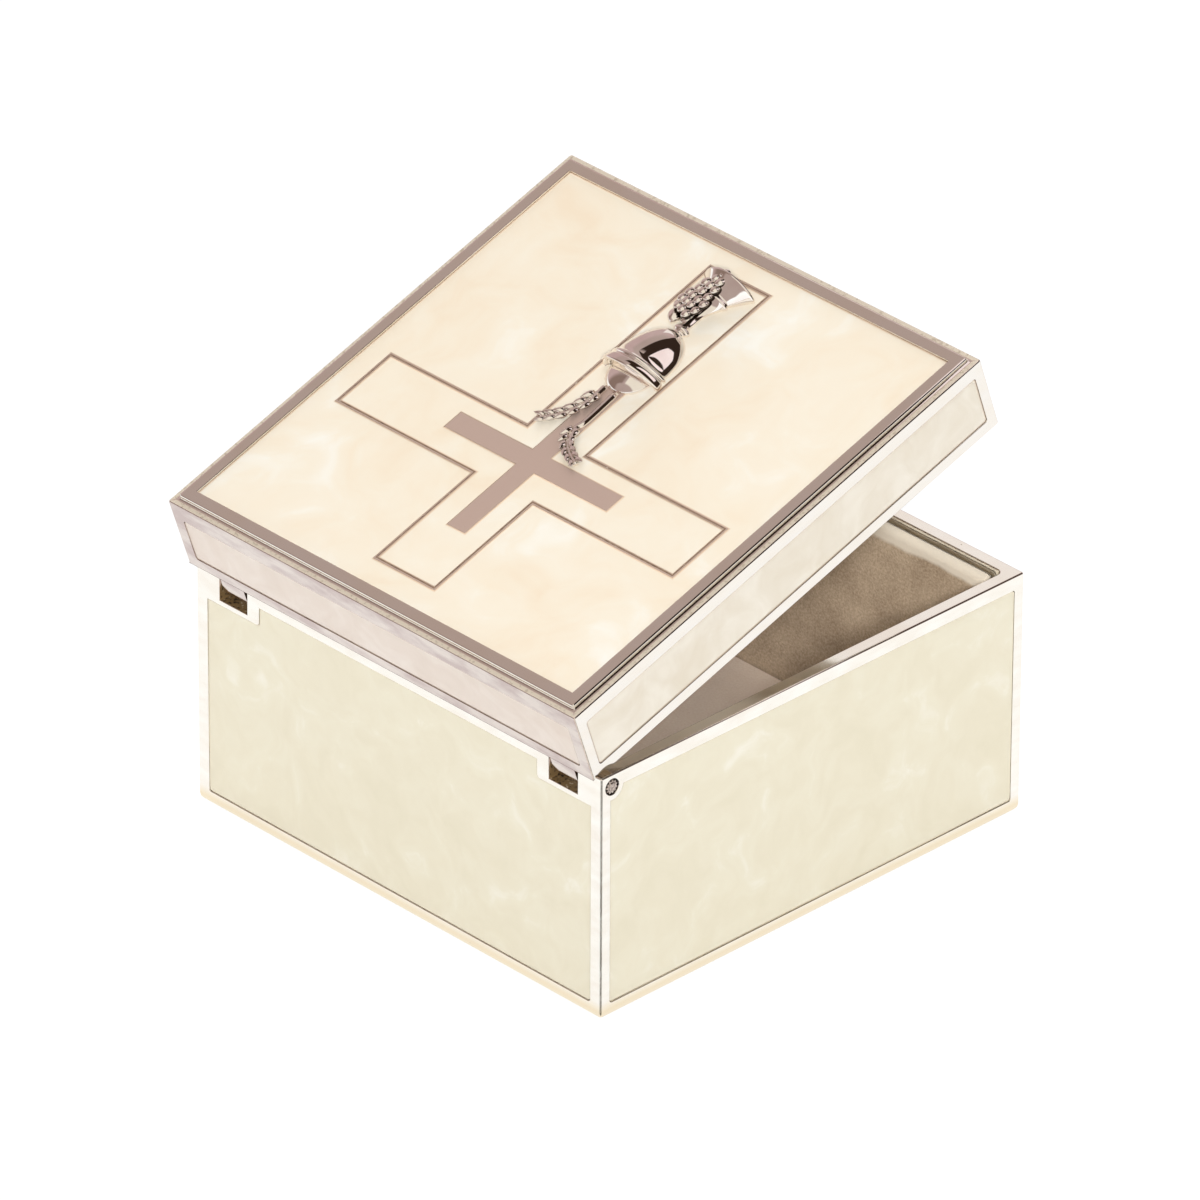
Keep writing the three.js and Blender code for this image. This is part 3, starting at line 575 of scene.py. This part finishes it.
def body_finish(place):
    """How much painted mauve reflection the body's plate carries, none, and how dull it is, at a
    place.
    """
    return 0, 1 if within(place, notch_space) else 0


def lid_finish(place):
    """The same for the lid: its back and lugs carry a painted mauve reflection and the rest of it a
    little, polish lies in the hollow moulding, and the inner cross takes a thin coat coloured as a
    painted mauve reflection.
    """
    shut = lid_turn_back @ place
    from_x_side, from_y_side = sides_away(shut)
    inward = min(from_x_side, from_y_side)
    on_back = shut.y > back_face or shut.z < lower_edge
    # Painted mauve reflection: strong on the lid's back and lugs, faint on the rest
    painted_reflection = 0.95 if on_back or within(shut, lug_space) else 0.15
    dull = 0
    if max(from_x_side, from_y_side) < corner_width:
        dull = 0.8
    if inward < hollow_width and shut.z > hollow_height:
        dull = min(0.85, (hollow_width - inward) * 5) if inward > hollow_rim else 0.6
    # The inner cross: a thin coat coloured as a painted mauve reflection
    if inward > cross_inward and shut.z > cross_height:
        dull = 0.35
    return painted_reflection, dull


def rim_loops(faces):
    """The closed edge loops round a group of faces, each as corners in order."""
    following = {}
    for face in faces:
        for loop in face.loops:
            if len([other for other in loop.edge.link_faces if other in faces]) == 1:
                following[loop.vert] = loop.link_loop_next.vert
    loops = []
    while following:
        corner = next(iter(following))
        loop = []
        while corner in following:
            loop.append(corner.co.copy())
            corner = following.pop(corner)
        loops.append(loop)
    return loops


def offset_loop(loop, out, inset):
    """A flat loop moved into its panel. Corners of edges too short for the move are joined."""
    count = len(loop)
    moved = []
    for i, corner in enumerate(loop):
        before = (corner - loop[i - 1]).normalized()
        after = (loop[(i + 1) % count] - corner).normalized()
        first, last = out.cross(before), out.cross(after)
        moved.append(corner + (first + last) / (1 + first.dot(last)) * inset)
    for i in range(count):
        j = (i + 1) % count
        if (moved[j] - moved[i]).dot(loop[j] - loop[i]) < 0:
            moved[i] = moved[j] = (moved[i] + moved[j]) / 2
    return moved


meniscus_steps = [  # distance in from the CAD panel's edge, rise, and share of the painted shade along the rim
    (-0.05, -0.3, 1), (-0.05, 0.12, 1), (0.04, 0.05, 0.7), (0.14, 0.01, 0.25),
    (0.26, 0, 0), (0.4, 0, 0),
]
lifted_rise = 0.25  # share of the rise that a lifted panel keeps
body_lift = 0.22  # how far the side panels' enamel stands over the CAD panels
lid_side_lift = 0.24
bed_cover = 0.03  # how far the lid's top enamel creeps over the wire's bed
inside_height = 30  # above the table, inside the box and below its lid


def enamel_panel(node_name, material, body, lift, reach=0):
    """An enamel panel that fills its pocket, drawn up a little where it wets the metal."""
    turned = body == "lid"
    source = cad_form(node_name)
    if turned:
        bmesh.ops.transform(source, matrix=lid_turn_back, verts=source.verts)
    source.normal_update()
    middle = sum((corner.co for corner in source.verts), Vector()) / len(source.verts)
    flat = max(source.faces, key=lambda face: face.calc_area()).normal.copy()
    inside = Vector((lid_middle * turned, 0, inside_height))
    out = flat if flat.dot(middle - inside) > 0 else -flat
    level = max(corner.co.dot(out) for corner in source.verts)
    top = [
        face for face in source.faces
        if face.normal.dot(out) > 0.99 and face.calc_center_median().dot(out) > level - 0.01
    ]
    form = bmesh.new()
    rim = form.verts.layers.float.new("rim")
    for loop in rim_loops(top):
        previous = None
        for inset, rise, share in meniscus_steps:
            drawn_up = rise * (lifted_rise if lift and rise > 0 else 1)
            row = []
            for place in offset_loop(loop, out, inset - reach):
                corner = form.verts.new(place + out * (drawn_up + lift))
                corner[rim] = share
                row.append(corner)
            if previous:
                for i in range(len(row)):
                    form.faces.new((previous[i - 1], previous[i], row[i], row[i - 1]))
            previous = row
    bmesh.ops.remove_doubles(form, verts=form.verts, dist=weld_distance)
    inner = [
        e for e in form.edges
        if len(e.link_faces) == 1 and all(corner[rim] == 0 for corner in e.verts)
    ]
    bmesh.ops.triangle_fill(form, edges=inner, use_beauty=True, normal=out)
    for face in form.faces:
        if face.normal.dot(out) < 0:
            face.normal_flip()
        face.smooth = True
    name = node_name + "_poured"
    mesh = bpy.data.meshes.new(name)
    form.to_mesh(mesh)
    form.free()
    source.free()
    piece = place_mesh(name, mesh, material, body, turned=turned, smooth=False)
    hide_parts(node_name)


wire_bed = 0.28  # from the enamel inside the cross to the wire's middle
wire_half = 0.21
wire_top = 0.2
wire_sink = 0.03
wire_steps = 8
wire_dull = 0.6


def cross_wire():
    """The half-round wire that outlines the cross, laid over its flat bed in the casting."""
    points = shut_points("lid_enamel_cross")
    halves = sorted({round(abs(point.x - lid_middle), 2) for point in points})
    levels = sorted({round(point.y, 2) for point in points})
    upright, arms = halves[1], halves[-1]
    foot, arm_low, arm_high, top = levels[0], levels[2], levels[5], levels[7]
    form = bmesh.new()
    dull = form.verts.layers.float.new("dull")
    rows = []
    for i in range(wire_steps + 1):
        angle = math.pi * i / wire_steps
        grow = wire_bed + wire_half * math.cos(angle)
        height = wire_top * math.sin(angle) - wire_sink
        u, a = upright + grow, arms + grow
        low, high = arm_low - grow, arm_high + grow
        outline = [
            (-u, foot - grow), (u, foot - grow), (u, low), (a, low), (a, high), (u, high),
            (u, top + grow), (-u, top + grow), (-u, high), (-a, high), (-a, low), (-u, low),
        ]
        rows.append([form.verts.new((lid_middle + x, y, enamel_top + height)) for x, y in outline])
    for one, other in zip(rows, rows[1:]):
        for i in range(len(one)):
            form.faces.new((one[i - 1], one[i], other[i], other[i - 1]))
    for corner in form.verts:
        corner[dull] = wire_dull
    mesh = finished_mesh(form, "cross_wire")
    place_mesh("cross_wire", mesh, wire_casting, "lid", turned=True)


def flocked(node_name, body, round_edge, material):
    """A flocked board or felt with soft rounded edges."""
    form = cad_form(node_name)
    ease_edges(form, board_edge_angle, round_edge, 3)
    name = node_name + "_flocked"
    piece = place_mesh(name, finished_mesh(form, name), material, body)
    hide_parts(node_name)


head_teeth = 11
tooth_shape = (1, 0.55, 0, 0.55)  # height over one tooth and one groove
head_depth = 2.1
wire_radius = 0.6
head_steps = [  # depth from the end, radius between the teeth, radius at their crests
    (0, 0.02, 0.02), (0.01, 0.18, 0.18), (0.04, 0.36, 0.36), (0.1, 0.52, 0.54), (0.2, 0.62, 0.68),
    (0.2, 0.68, 0.8), (0.22, 0.72, 1), (0.3, 0.74, 1.09), (head_depth, 0.74, 1.09),
]


def pin_ring(along, radii):
    """Points round the hinge's axis, at one distance along it."""
    ring = []
    for i, radius in enumerate(radii):
        angle = 2 * math.pi * i / len(radii)
        back, up = radius * math.cos(angle), radius * math.sin(angle)
        ring.append(Vector((along, pin.y + back, pin.z + up)))
    return ring


def pin_head(node_name, sign):
    """A pin with a knurled head: sharp teeth, a domed end and the wire behind it."""
    ends = [vertex.co.x / MM * sign for vertex in nodes[node_name].data.vertices]
    face, tip = max(ends), min(ends)
    steps = len(tooth_shape) * head_teeth
    rings = []
    for depth, root, crest in head_steps:
        radii = [root + (crest - root) * tooth_shape[i % len(tooth_shape)] for i in range(steps)]
        rings.append(pin_ring(sign * (face - depth), radii))
    for along in (face - head_depth - 0.02, tip):
        rings.append(pin_ring(sign * along, [wire_radius] * steps))
    form = bmesh.new()
    add_loft(form, rings)
    name = node_name + "_knurled"
    piece = place_mesh(name, finished_mesh(form, name), steel, "box", smooth=False)
    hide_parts(node_name)


# Emblem, laid out on the shut lid

skirt = emblem_base - enamel_top + 0.05  # how far the pieces run down into the enamel
least = 0.02  # radius that stands for a point


def on_lid(across, from_back, height=0):
    """A place on the shut lid: from its middle, from its back edge and over the emblem's base."""
    return Vector((lid_middle + across, lid_high.y - from_back, emblem_base + height))


arch_steps = 12
arch_angles = [math.pi * i / arch_steps for i in range(arch_steps + 1)]


def arc(across, along, radius, start, end, steps):
    """Points on a round stretch of an outline, with angles in degrees."""
    points = []
    for i in range(steps + 1):
        angle = math.radians(start + (end - start) * i / steps)
        points.append((across + radius * math.cos(angle), along + radius * math.sin(angle)))
    return points


arch_slope = math.radians(63)  # how steep the arch is over its edge
arch_edge = 0.05  # share of the height that is upright


def arched(angle, radius, height):
    """A point on a shallow arch over a low upright edge: across and up."""
    lean = (math.pi / 2 - angle) * arch_slope / (math.pi / 2)
    arch_height = height * (1 - arch_edge)
    crown = (math.cos(lean) - math.cos(arch_slope)) / (1 - math.cos(arch_slope))
    return radius * math.sin(lean) / math.sin(arch_slope), height * arch_edge + arch_height * crown


mouth_from_back = lid_high.y - shut_box("chalice")[1].y
cup_flatness = 0.75  # relief height over radius
lip_lean = 0.3
bowl_radius = 4.5
bowl_start = 2.45
bowl_end = 9.3
bowl_steps = 23
foot_radius = 4.6
foot_edge = 0.22
chalice_length = 19.3
chalice_sides = 64


def chalice_outline():
    """Radius and distance from the mouth, from inside the lip to the underside of the foot."""
    points = [(0, 0.55), (4.25, 0.55)]
    points += arc(4.7, 0.5, 0.45, 180, 360, 8)
    points += arc(4.62, 1, 0.42, 0, 80, 4)
    points += [(4.58, 1.55)]
    points += arc(4.6, 1.92, 0.28, -80, 80, 6)
    points += [(4.52, 2.3)]
    for i in range(1, bowl_steps - 1):
        angle = math.radians(90 * i / bowl_steps)
        along = bowl_start + (bowl_end - bowl_start) * math.sin(angle)
        points.append((bowl_radius * math.cos(angle), along))
    points += arc(0.95, 9.95, 0.42, -70, 70, 6)
    points += [(0.62, 10.9), (0.58, 12.2), (0.62, 13.4), (0.85, 14.1), (1.35, 14.9), (1.9, 15.7)]
    points += arc(2.05, 16.15, 0.3, -60, 80, 5)
    points += [(2.3, 16.7), (2.75, 17.15), (3.3, 17.75), (3.9, 18.35), (4.35, 18.75)]
    points += arc(foot_radius - foot_edge, chalice_length - foot_edge, foot_edge, -60, 90, 5)
    points += [(0, chalice_length)]
    return points


def chalice():
    """Half a turned cup, its lip rolled and its foot flared, that leans a little at the lip."""
    rings = []
    for radius, along in chalice_outline():
        radius = max(radius, least)
        from_back = mouth_from_back + along
        lean = lip_lean * min(1, max(0, (bowl_end - along) / bowl_end))
        ring = [on_lid(radius, from_back, -skirt)]
        for i in range(chalice_sides + 1):
            across, height = arched(math.pi * i / chalice_sides, radius, radius * cup_flatness)
            ring.append(on_lid(across, from_back - lean * height, height))
        ring.append(on_lid(-radius, from_back, -skirt))
        rings.append(ring)
    form = bmesh.new()
    add_loft(form, rings)
    place_relief(form, "chalice_relief", "chalice")


host_radius = 3.55
host_from_back = 49.3
host_height = 1.85
host_steps = 20
host_sides = 72


def wafer_ring(radius, height):
    ring = []
    for i in range(host_sides):
        angle = 2 * math.pi * i / host_sides
        across, along = radius * math.cos(angle), radius * math.sin(angle)
        ring.append(on_lid(across, host_from_back + along, height))
    return ring


def host():
    """A domed wafer that stands out of the cup's mouth."""
    rings = [wafer_ring(host_radius, -skirt)]
    for i in range(host_steps + 1):
        radius, height = arched(math.radians(90 * i / host_steps), host_radius, host_height)
        rings.append(wafer_ring(max(radius, least), height))
    form = bmesh.new()
    add_loft(form, rings)
    place_relief(form, "host_relief", "host")


berry_rows = [3, 4, 4, 3, 3, 2, 1]
berry_radius = 0.7
berry_shape = (0.84, 1.12, 0.72)  # across the bunch, along it and up
berry_pitch = 1.1
berry_climb = 1.45  # rise from the bunch's root to its tip
berry_crown = 0.63  # rise from its side to its middle
berry_stray = 0.1
berry_sizes = (0.94, 1.06)  # least and most, of berry_radius
bunch_root = (1.75, 61.04)
bunch_tip = (-0.1, 67.8)
mound_steps = 12
# Share of painted shade on the mound
mound_shade = 0.45
mound_half = 1.55  # half width at the root, and how much less at the tip, in berry_pitch
mound_narrowing = 1.2
mound_base = 0.35
mound_crown = 0.6  # of berry_crown
vine_leaves = [  # across, from the back, half length, half width, turn in degrees
    (2.9, 60.5, 1.45, 1, 20),
    (0.8, 60.8, 1.15, 0.75, -28),
    (4, 62.4, 1.2, 0.7, 9),
]
leaf_steps = 16
leaf_dome = 0.8  # height over half width
leaf_vein = 0.12


def add_berry(form, centre, radius, turn):
    """A plump oval berry, longest along the bunch and a little flat, with painted shade towards its
    underside.
    """
    ball = bmesh.ops.create_icosphere(form, subdivisions=4, radius=radius)["verts"]
    painted_shade = form.verts.layers.float["painted_shade"]
    for corner in ball:
        corner[painted_shade] = min(1, max(0, 1.2 - corner.co.z / radius * 4))
    shape = Matrix.Rotation(turn, 4, "Z") @ Matrix.Diagonal((*berry_shape, 1))
    bmesh.ops.transform(form, matrix=Matrix.Translation(centre) @ shape, verts=ball)


def add_leaf(form, across, from_back, length, width, turn):
    """A pointed oval leaf, domed, with a ridge along its middle vein."""
    middle = on_lid(across, from_back)
    heading = Matrix.Rotation(math.radians(turn), 3, "Z")
    rings = []
    for i in range(leaf_steps + 1):
        along = -1 + 2 * i / leaf_steps
        half = max(width * (1 - along * along) ** 0.75, least)
        ring = [Vector((half, along * length, -skirt))]
        for j, angle in enumerate(arch_angles):
            lift = half * leaf_dome * math.sin(angle) + leaf_vein * half * (j == arch_steps // 2)
            ring.append(Vector((half * math.cos(angle), along * length, lift)))
        ring.append(Vector((-half, along * length, -skirt)))
        rings.append([middle + heading @ point for point in ring])
    add_loft(form, rings)


def grapes():
    """Rows of berries that climb over the chalice's foot, on a mound that carries them, the mound
    in part painted shade.
    """
    random.seed(7)
    form = bmesh.new()
    painted_shade = form.verts.layers.float.new("painted_shade")
    root = Vector((*bunch_root, 0))
    tip = Vector((*bunch_tip, 0))
    aside = (tip - root).normalized().cross(Vector((0, 0, 1)))
    heading = -math.atan2(root.x - tip.x, tip.y - root.y)
    for row, count in enumerate(berry_rows):
        share = row / (len(berry_rows) - 1)
        middle = root.lerp(tip, share)
        for i in range(count):
            off = i - (count - 1) / 2
            spot = middle + aside * off * berry_pitch
            stray = [random.uniform(-berry_stray, berry_stray) for _ in range(2)]
            spot += Vector((*stray, 0))
            crown = 1 - (2 * off / (count + 1)) ** 2
            height = berry_radius + berry_climb * share + berry_crown * crown
            size = random.uniform(*berry_sizes)
            add_berry(form, on_lid(spot.x, spot.y, height), berry_radius * size, heading)
    rings = []
    for i in range(mound_steps + 1):
        share = i / mound_steps
        middle = root.lerp(tip, share)
        half = berry_pitch * (mound_half - mound_narrowing * share)
        top = mound_base + berry_climb * share + berry_crown * mound_crown
        ring = [on_lid(*(middle + aside * half).xy, -skirt)]
        for angle in arch_angles:
            spot = middle + aside * half * math.cos(angle)
            ring.append(on_lid(spot.x, spot.y, top * math.sin(angle) ** 0.5))
        ring.append(on_lid(*(middle - aside * half).xy, -skirt))
        rings.append(ring)
    add_loft(form, rings, painted_shade, mound_shade)
    for leaf in vine_leaves:
        add_leaf(form, *leaf)
    place_relief(form, "grape_relief", "grape_cluster")


# Centre lines of the ears, across and from the hinge edge, from under the host to the tip
left_stalk = [(-0.85, 45.6), (-1.05, 39.6), (-0.78, 38.2), (-1.5, 36), (-3.25, 34.4), (-5.5, 33.3)]
right_stalk = [(1.3, 45.6), (1.3, 44.3), (1.5, 42.1), (2.25, 39.9), (3.45, 38.35), (4.8, 37.1)]
stalk_radius = 0.5
stalk_steps = 40
stalk_taper = 0.35
grain_length = 2
grain_width = 1.12
grain_pairs = 6
grain_end = 0.93  # share of the stalk where the last pair sits
grain_shrink = 0.32
grain_splay = math.radians(15)
grain_lift = math.radians(13)
grain_sides = 12
grain_keel = 0.9  # height over radius along the keel, and beside it
grain_flank = 0.72
grain_outline = [  # half width over width, and distance along over length
    (0, 0), (0.24, 0.03), (0.42, 0.14), (0.5, 0.34), (0.47, 0.55), (0.37, 0.76), (0.2, 0.93),
    (0.07, 1.04), (0, 1.12),
]


def curve_point(points, share):
    """A point and heading on a smooth line through the given points."""
    spans = len(points) - 1
    span = min(int(share * spans), spans - 1)
    t = share * spans - span
    p1, p2 = Vector(points[span]), Vector(points[span + 1])
    p0 = Vector(points[span - 1]) if span else 2 * p1 - p2
    p3 = Vector(points[span + 2]) if span + 2 <= spans else 2 * p2 - p1
    slope = p2 - p0
    bend = 2 * p0 - 5 * p1 + 4 * p2 - p3
    twist = 3 * p1 - p0 - 3 * p2 + p3
    spot = 0.5 * (2 * p1 + slope * t + bend * t ** 2 + twist * t ** 3)
    heading = 0.5 * (slope + 2 * bend * t + 3 * twist * t ** 2)
    return spot, heading.normalized()


def add_grain(form, spot, heading, side, size):
    """A pointed grain with a keel, leaning out from the stalk, with painted shade on its underside.
    """
    turn = math.atan2(heading.y, heading.x) - math.pi / 2
    lean = Matrix.Rotation(turn - side * grain_splay, 3, "Z") @ Matrix.Rotation(grain_lift, 3, "X")
    rings = []
    for share_out, share_along in grain_outline:
        radius = max(share_out * grain_width * size, 0.015)
        ring = []
        for i in range(grain_sides):
            angle = 2 * math.pi * i / grain_sides
            rise = grain_keel if i == grain_sides // 4 else grain_flank
            ring.append(Vector((
                radius * math.cos(angle),
                share_along * grain_length * size,
                radius * rise * math.sin(angle),
            )))
        rings.append([spot + lean @ point for point in ring])
    before = len(form.verts)
    add_loft(form, rings)
    painted_shade = form.verts.layers.float["painted_shade"]
    form.verts.ensure_lookup_table()
    for i, corner in enumerate(form.verts[before:]):
        corner[painted_shade] = 1 if i % grain_sides > grain_sides // 2 else 0


def wheat_ear(name, line, start, node_name):
    """A half-round stalk with pairs of grains from one share of its length to near its end."""
    form = bmesh.new()
    form.verts.layers.float.new("painted_shade")
    rings = []
    for i in range(stalk_steps + 1):
        spot, heading = curve_point(line, i / stalk_steps)
        across = Vector((-heading.y, heading.x))
        taper = stalk_radius * (1 - stalk_taper * i / stalk_steps)
        ring = []
        for angle in arch_angles:
            place = spot + across * taper * math.cos(angle)
            ring.append(on_lid(place.x, place.y, taper * math.sin(angle)))
        side = spot + across * taper
        other = spot - across * taper
        rings.append([on_lid(side.x, side.y, -skirt), *ring, on_lid(other.x, other.y, -skirt)])
    add_loft(form, rings)
    for i in range(grain_pairs):
        spot, heading = curve_point(line, start + (grain_end - start) * i / (grain_pairs - 1))
        size = 1 - grain_shrink * i / grain_pairs
        flipped = Vector((heading.x, -heading.y))
        for side in (-1, 1):
            across = Vector((flipped.y, -flipped.x)) * side * stalk_radius * 0.75
            root = on_lid(spot.x, spot.y, stalk_radius * 0.35) + Vector((across.x, across.y, 0))
            add_grain(form, root, flipped, side, size)
    place_relief(form, name, node_name)


make_camera()
make_world()
make_floor()
for card in cards:
    make_card(*card)
for lamp in lamps:
    make_lamp(*lamp)

# One pearl enamel in copies painted lighter and darker by how the light falls on each face: ivory
# for the top is the lightest; cream for the body's walls, blush for the lid's sides and rosy for
# its back are darker
cream = [(0.25, "#E0D8C0"), (0.45, "#E3DBC4"), (0.6, "#E5DEC8"), (0.78, "#EDE8D9")]
ivory = [(0.25, "#F9E7CD"), (0.42, "#FBEDD6"), (0.58, "#FCF1DD"), (0.74, "#FFFAEE")]
blush = [(0.25, "#DBD0BD"), (0.5, "#E1D8C8"), (0.75, "#EAE3D6")]
rosy = [(0.25, "#DDCDC0"), (0.5, "#E3D5C9"), (0.75, "#EBE0D6")]
grey_beige = [(0.32, "#8D7860"), (0.5, "#B29D84"), (0.68, "#D2BEA3")]
# The same flock painted lighter, standing in for the light that reaches the box's floor; the lid's
# lining takes it too
lit_beige = [(0.3, "#E6D3C1"), (0.5, "#F2E0D0"), (0.7, "#FCEEE0")]

casting = plated_casting("silver_plated_zinc_body", "#806846", "#2E2117")
lid_casting = plated_casting("silver_plated_zinc_lid", "#E4D8C4", "#CBBDA8")
wire_casting = plated_casting("silver_plated_zinc_wire", "#94795F", "#6B543E")
emblem_metal = bright_plate()
steel = pin_steel()
# The second colour given to each enamel is the painted shade along its rim
body_enamel = pearl_enamel("pearl_enamel_body", cream, "#DDD3BC", 7, 1.3)
top_enamel = pearl_enamel("pearl_enamel_top", ivory, "#E9CDB0", 14, 4.1)
side_enamel = pearl_enamel("pearl_enamel_lid_side", blush, "#CDBBA8", 8, 2.2)
back_enamel = pearl_enamel("pearl_enamel_lid_back", rosy, "#CDBBAC", 8, 3.4)
lining = flock("nylon_flock", grey_beige)
lit_lining = flock("nylon_flock_painted_lit", lit_beige)

for name, obj in nodes.items():
    obj.data.materials.clear()
    if name.startswith("enamel"):
        obj.data.materials.append(body_enamel)
    elif name in ("lid_enamel_field", "lid_enamel_cross"):
        obj.data.materials.append(top_enamel)
    elif name.startswith("lid_enamel"):
        obj.data.materials.append(side_enamel)
    elif "lining" in name or name == "base_felt":
        obj.data.materials.append(lining)
    elif name.startswith("hinge_pin"):
        obj.data.materials.append(steel)
    elif name == "lid_shell":
        obj.data.materials.append(lid_casting)
    else:
        obj.data.materials.append(casting)

eased_casting("box_body", 0.12, casting, "box", body_finish)
eased_casting("lid_shell", 0.08, lid_casting, "lid", lid_finish, rounded_frame)
for side in ("front", "right", "back", "left"):
    enamel_panel("enamel_" + side, body_enamel, "box", body_lift)
    lid_enamel = back_enamel if side == "back" else side_enamel
    enamel_panel("lid_enamel_" + side, lid_enamel, "lid", lid_side_lift)
    flocked("lining_" + side, "box", 0.5, lining)
enamel_panel("lid_enamel_field", top_enamel, "lid", 0, bed_cover)
enamel_panel("lid_enamel_cross", top_enamel, "lid", 0, bed_cover)
cross_wire()
pin_head("hinge_pin_left", -1)
pin_head("hinge_pin_right", 1)
flocked("lining_floor", "box", 0.3, lit_lining)
flocked("lid_lining_ceiling", "lid", 0.2, lit_lining)
flocked("lid_lining_band", "lid", 0.25, lit_lining)
flocked("base_felt", "box", 0.2, lining)
chalice()
host()
grapes()
wheat_ear("wheat_left_relief", left_stalk, 0.42, "wheat_ear_left")
wheat_ear("wheat_right_relief", right_stalk, 0.2, "wheat_ear_right")

scene.view_settings.view_transform = "Standard"
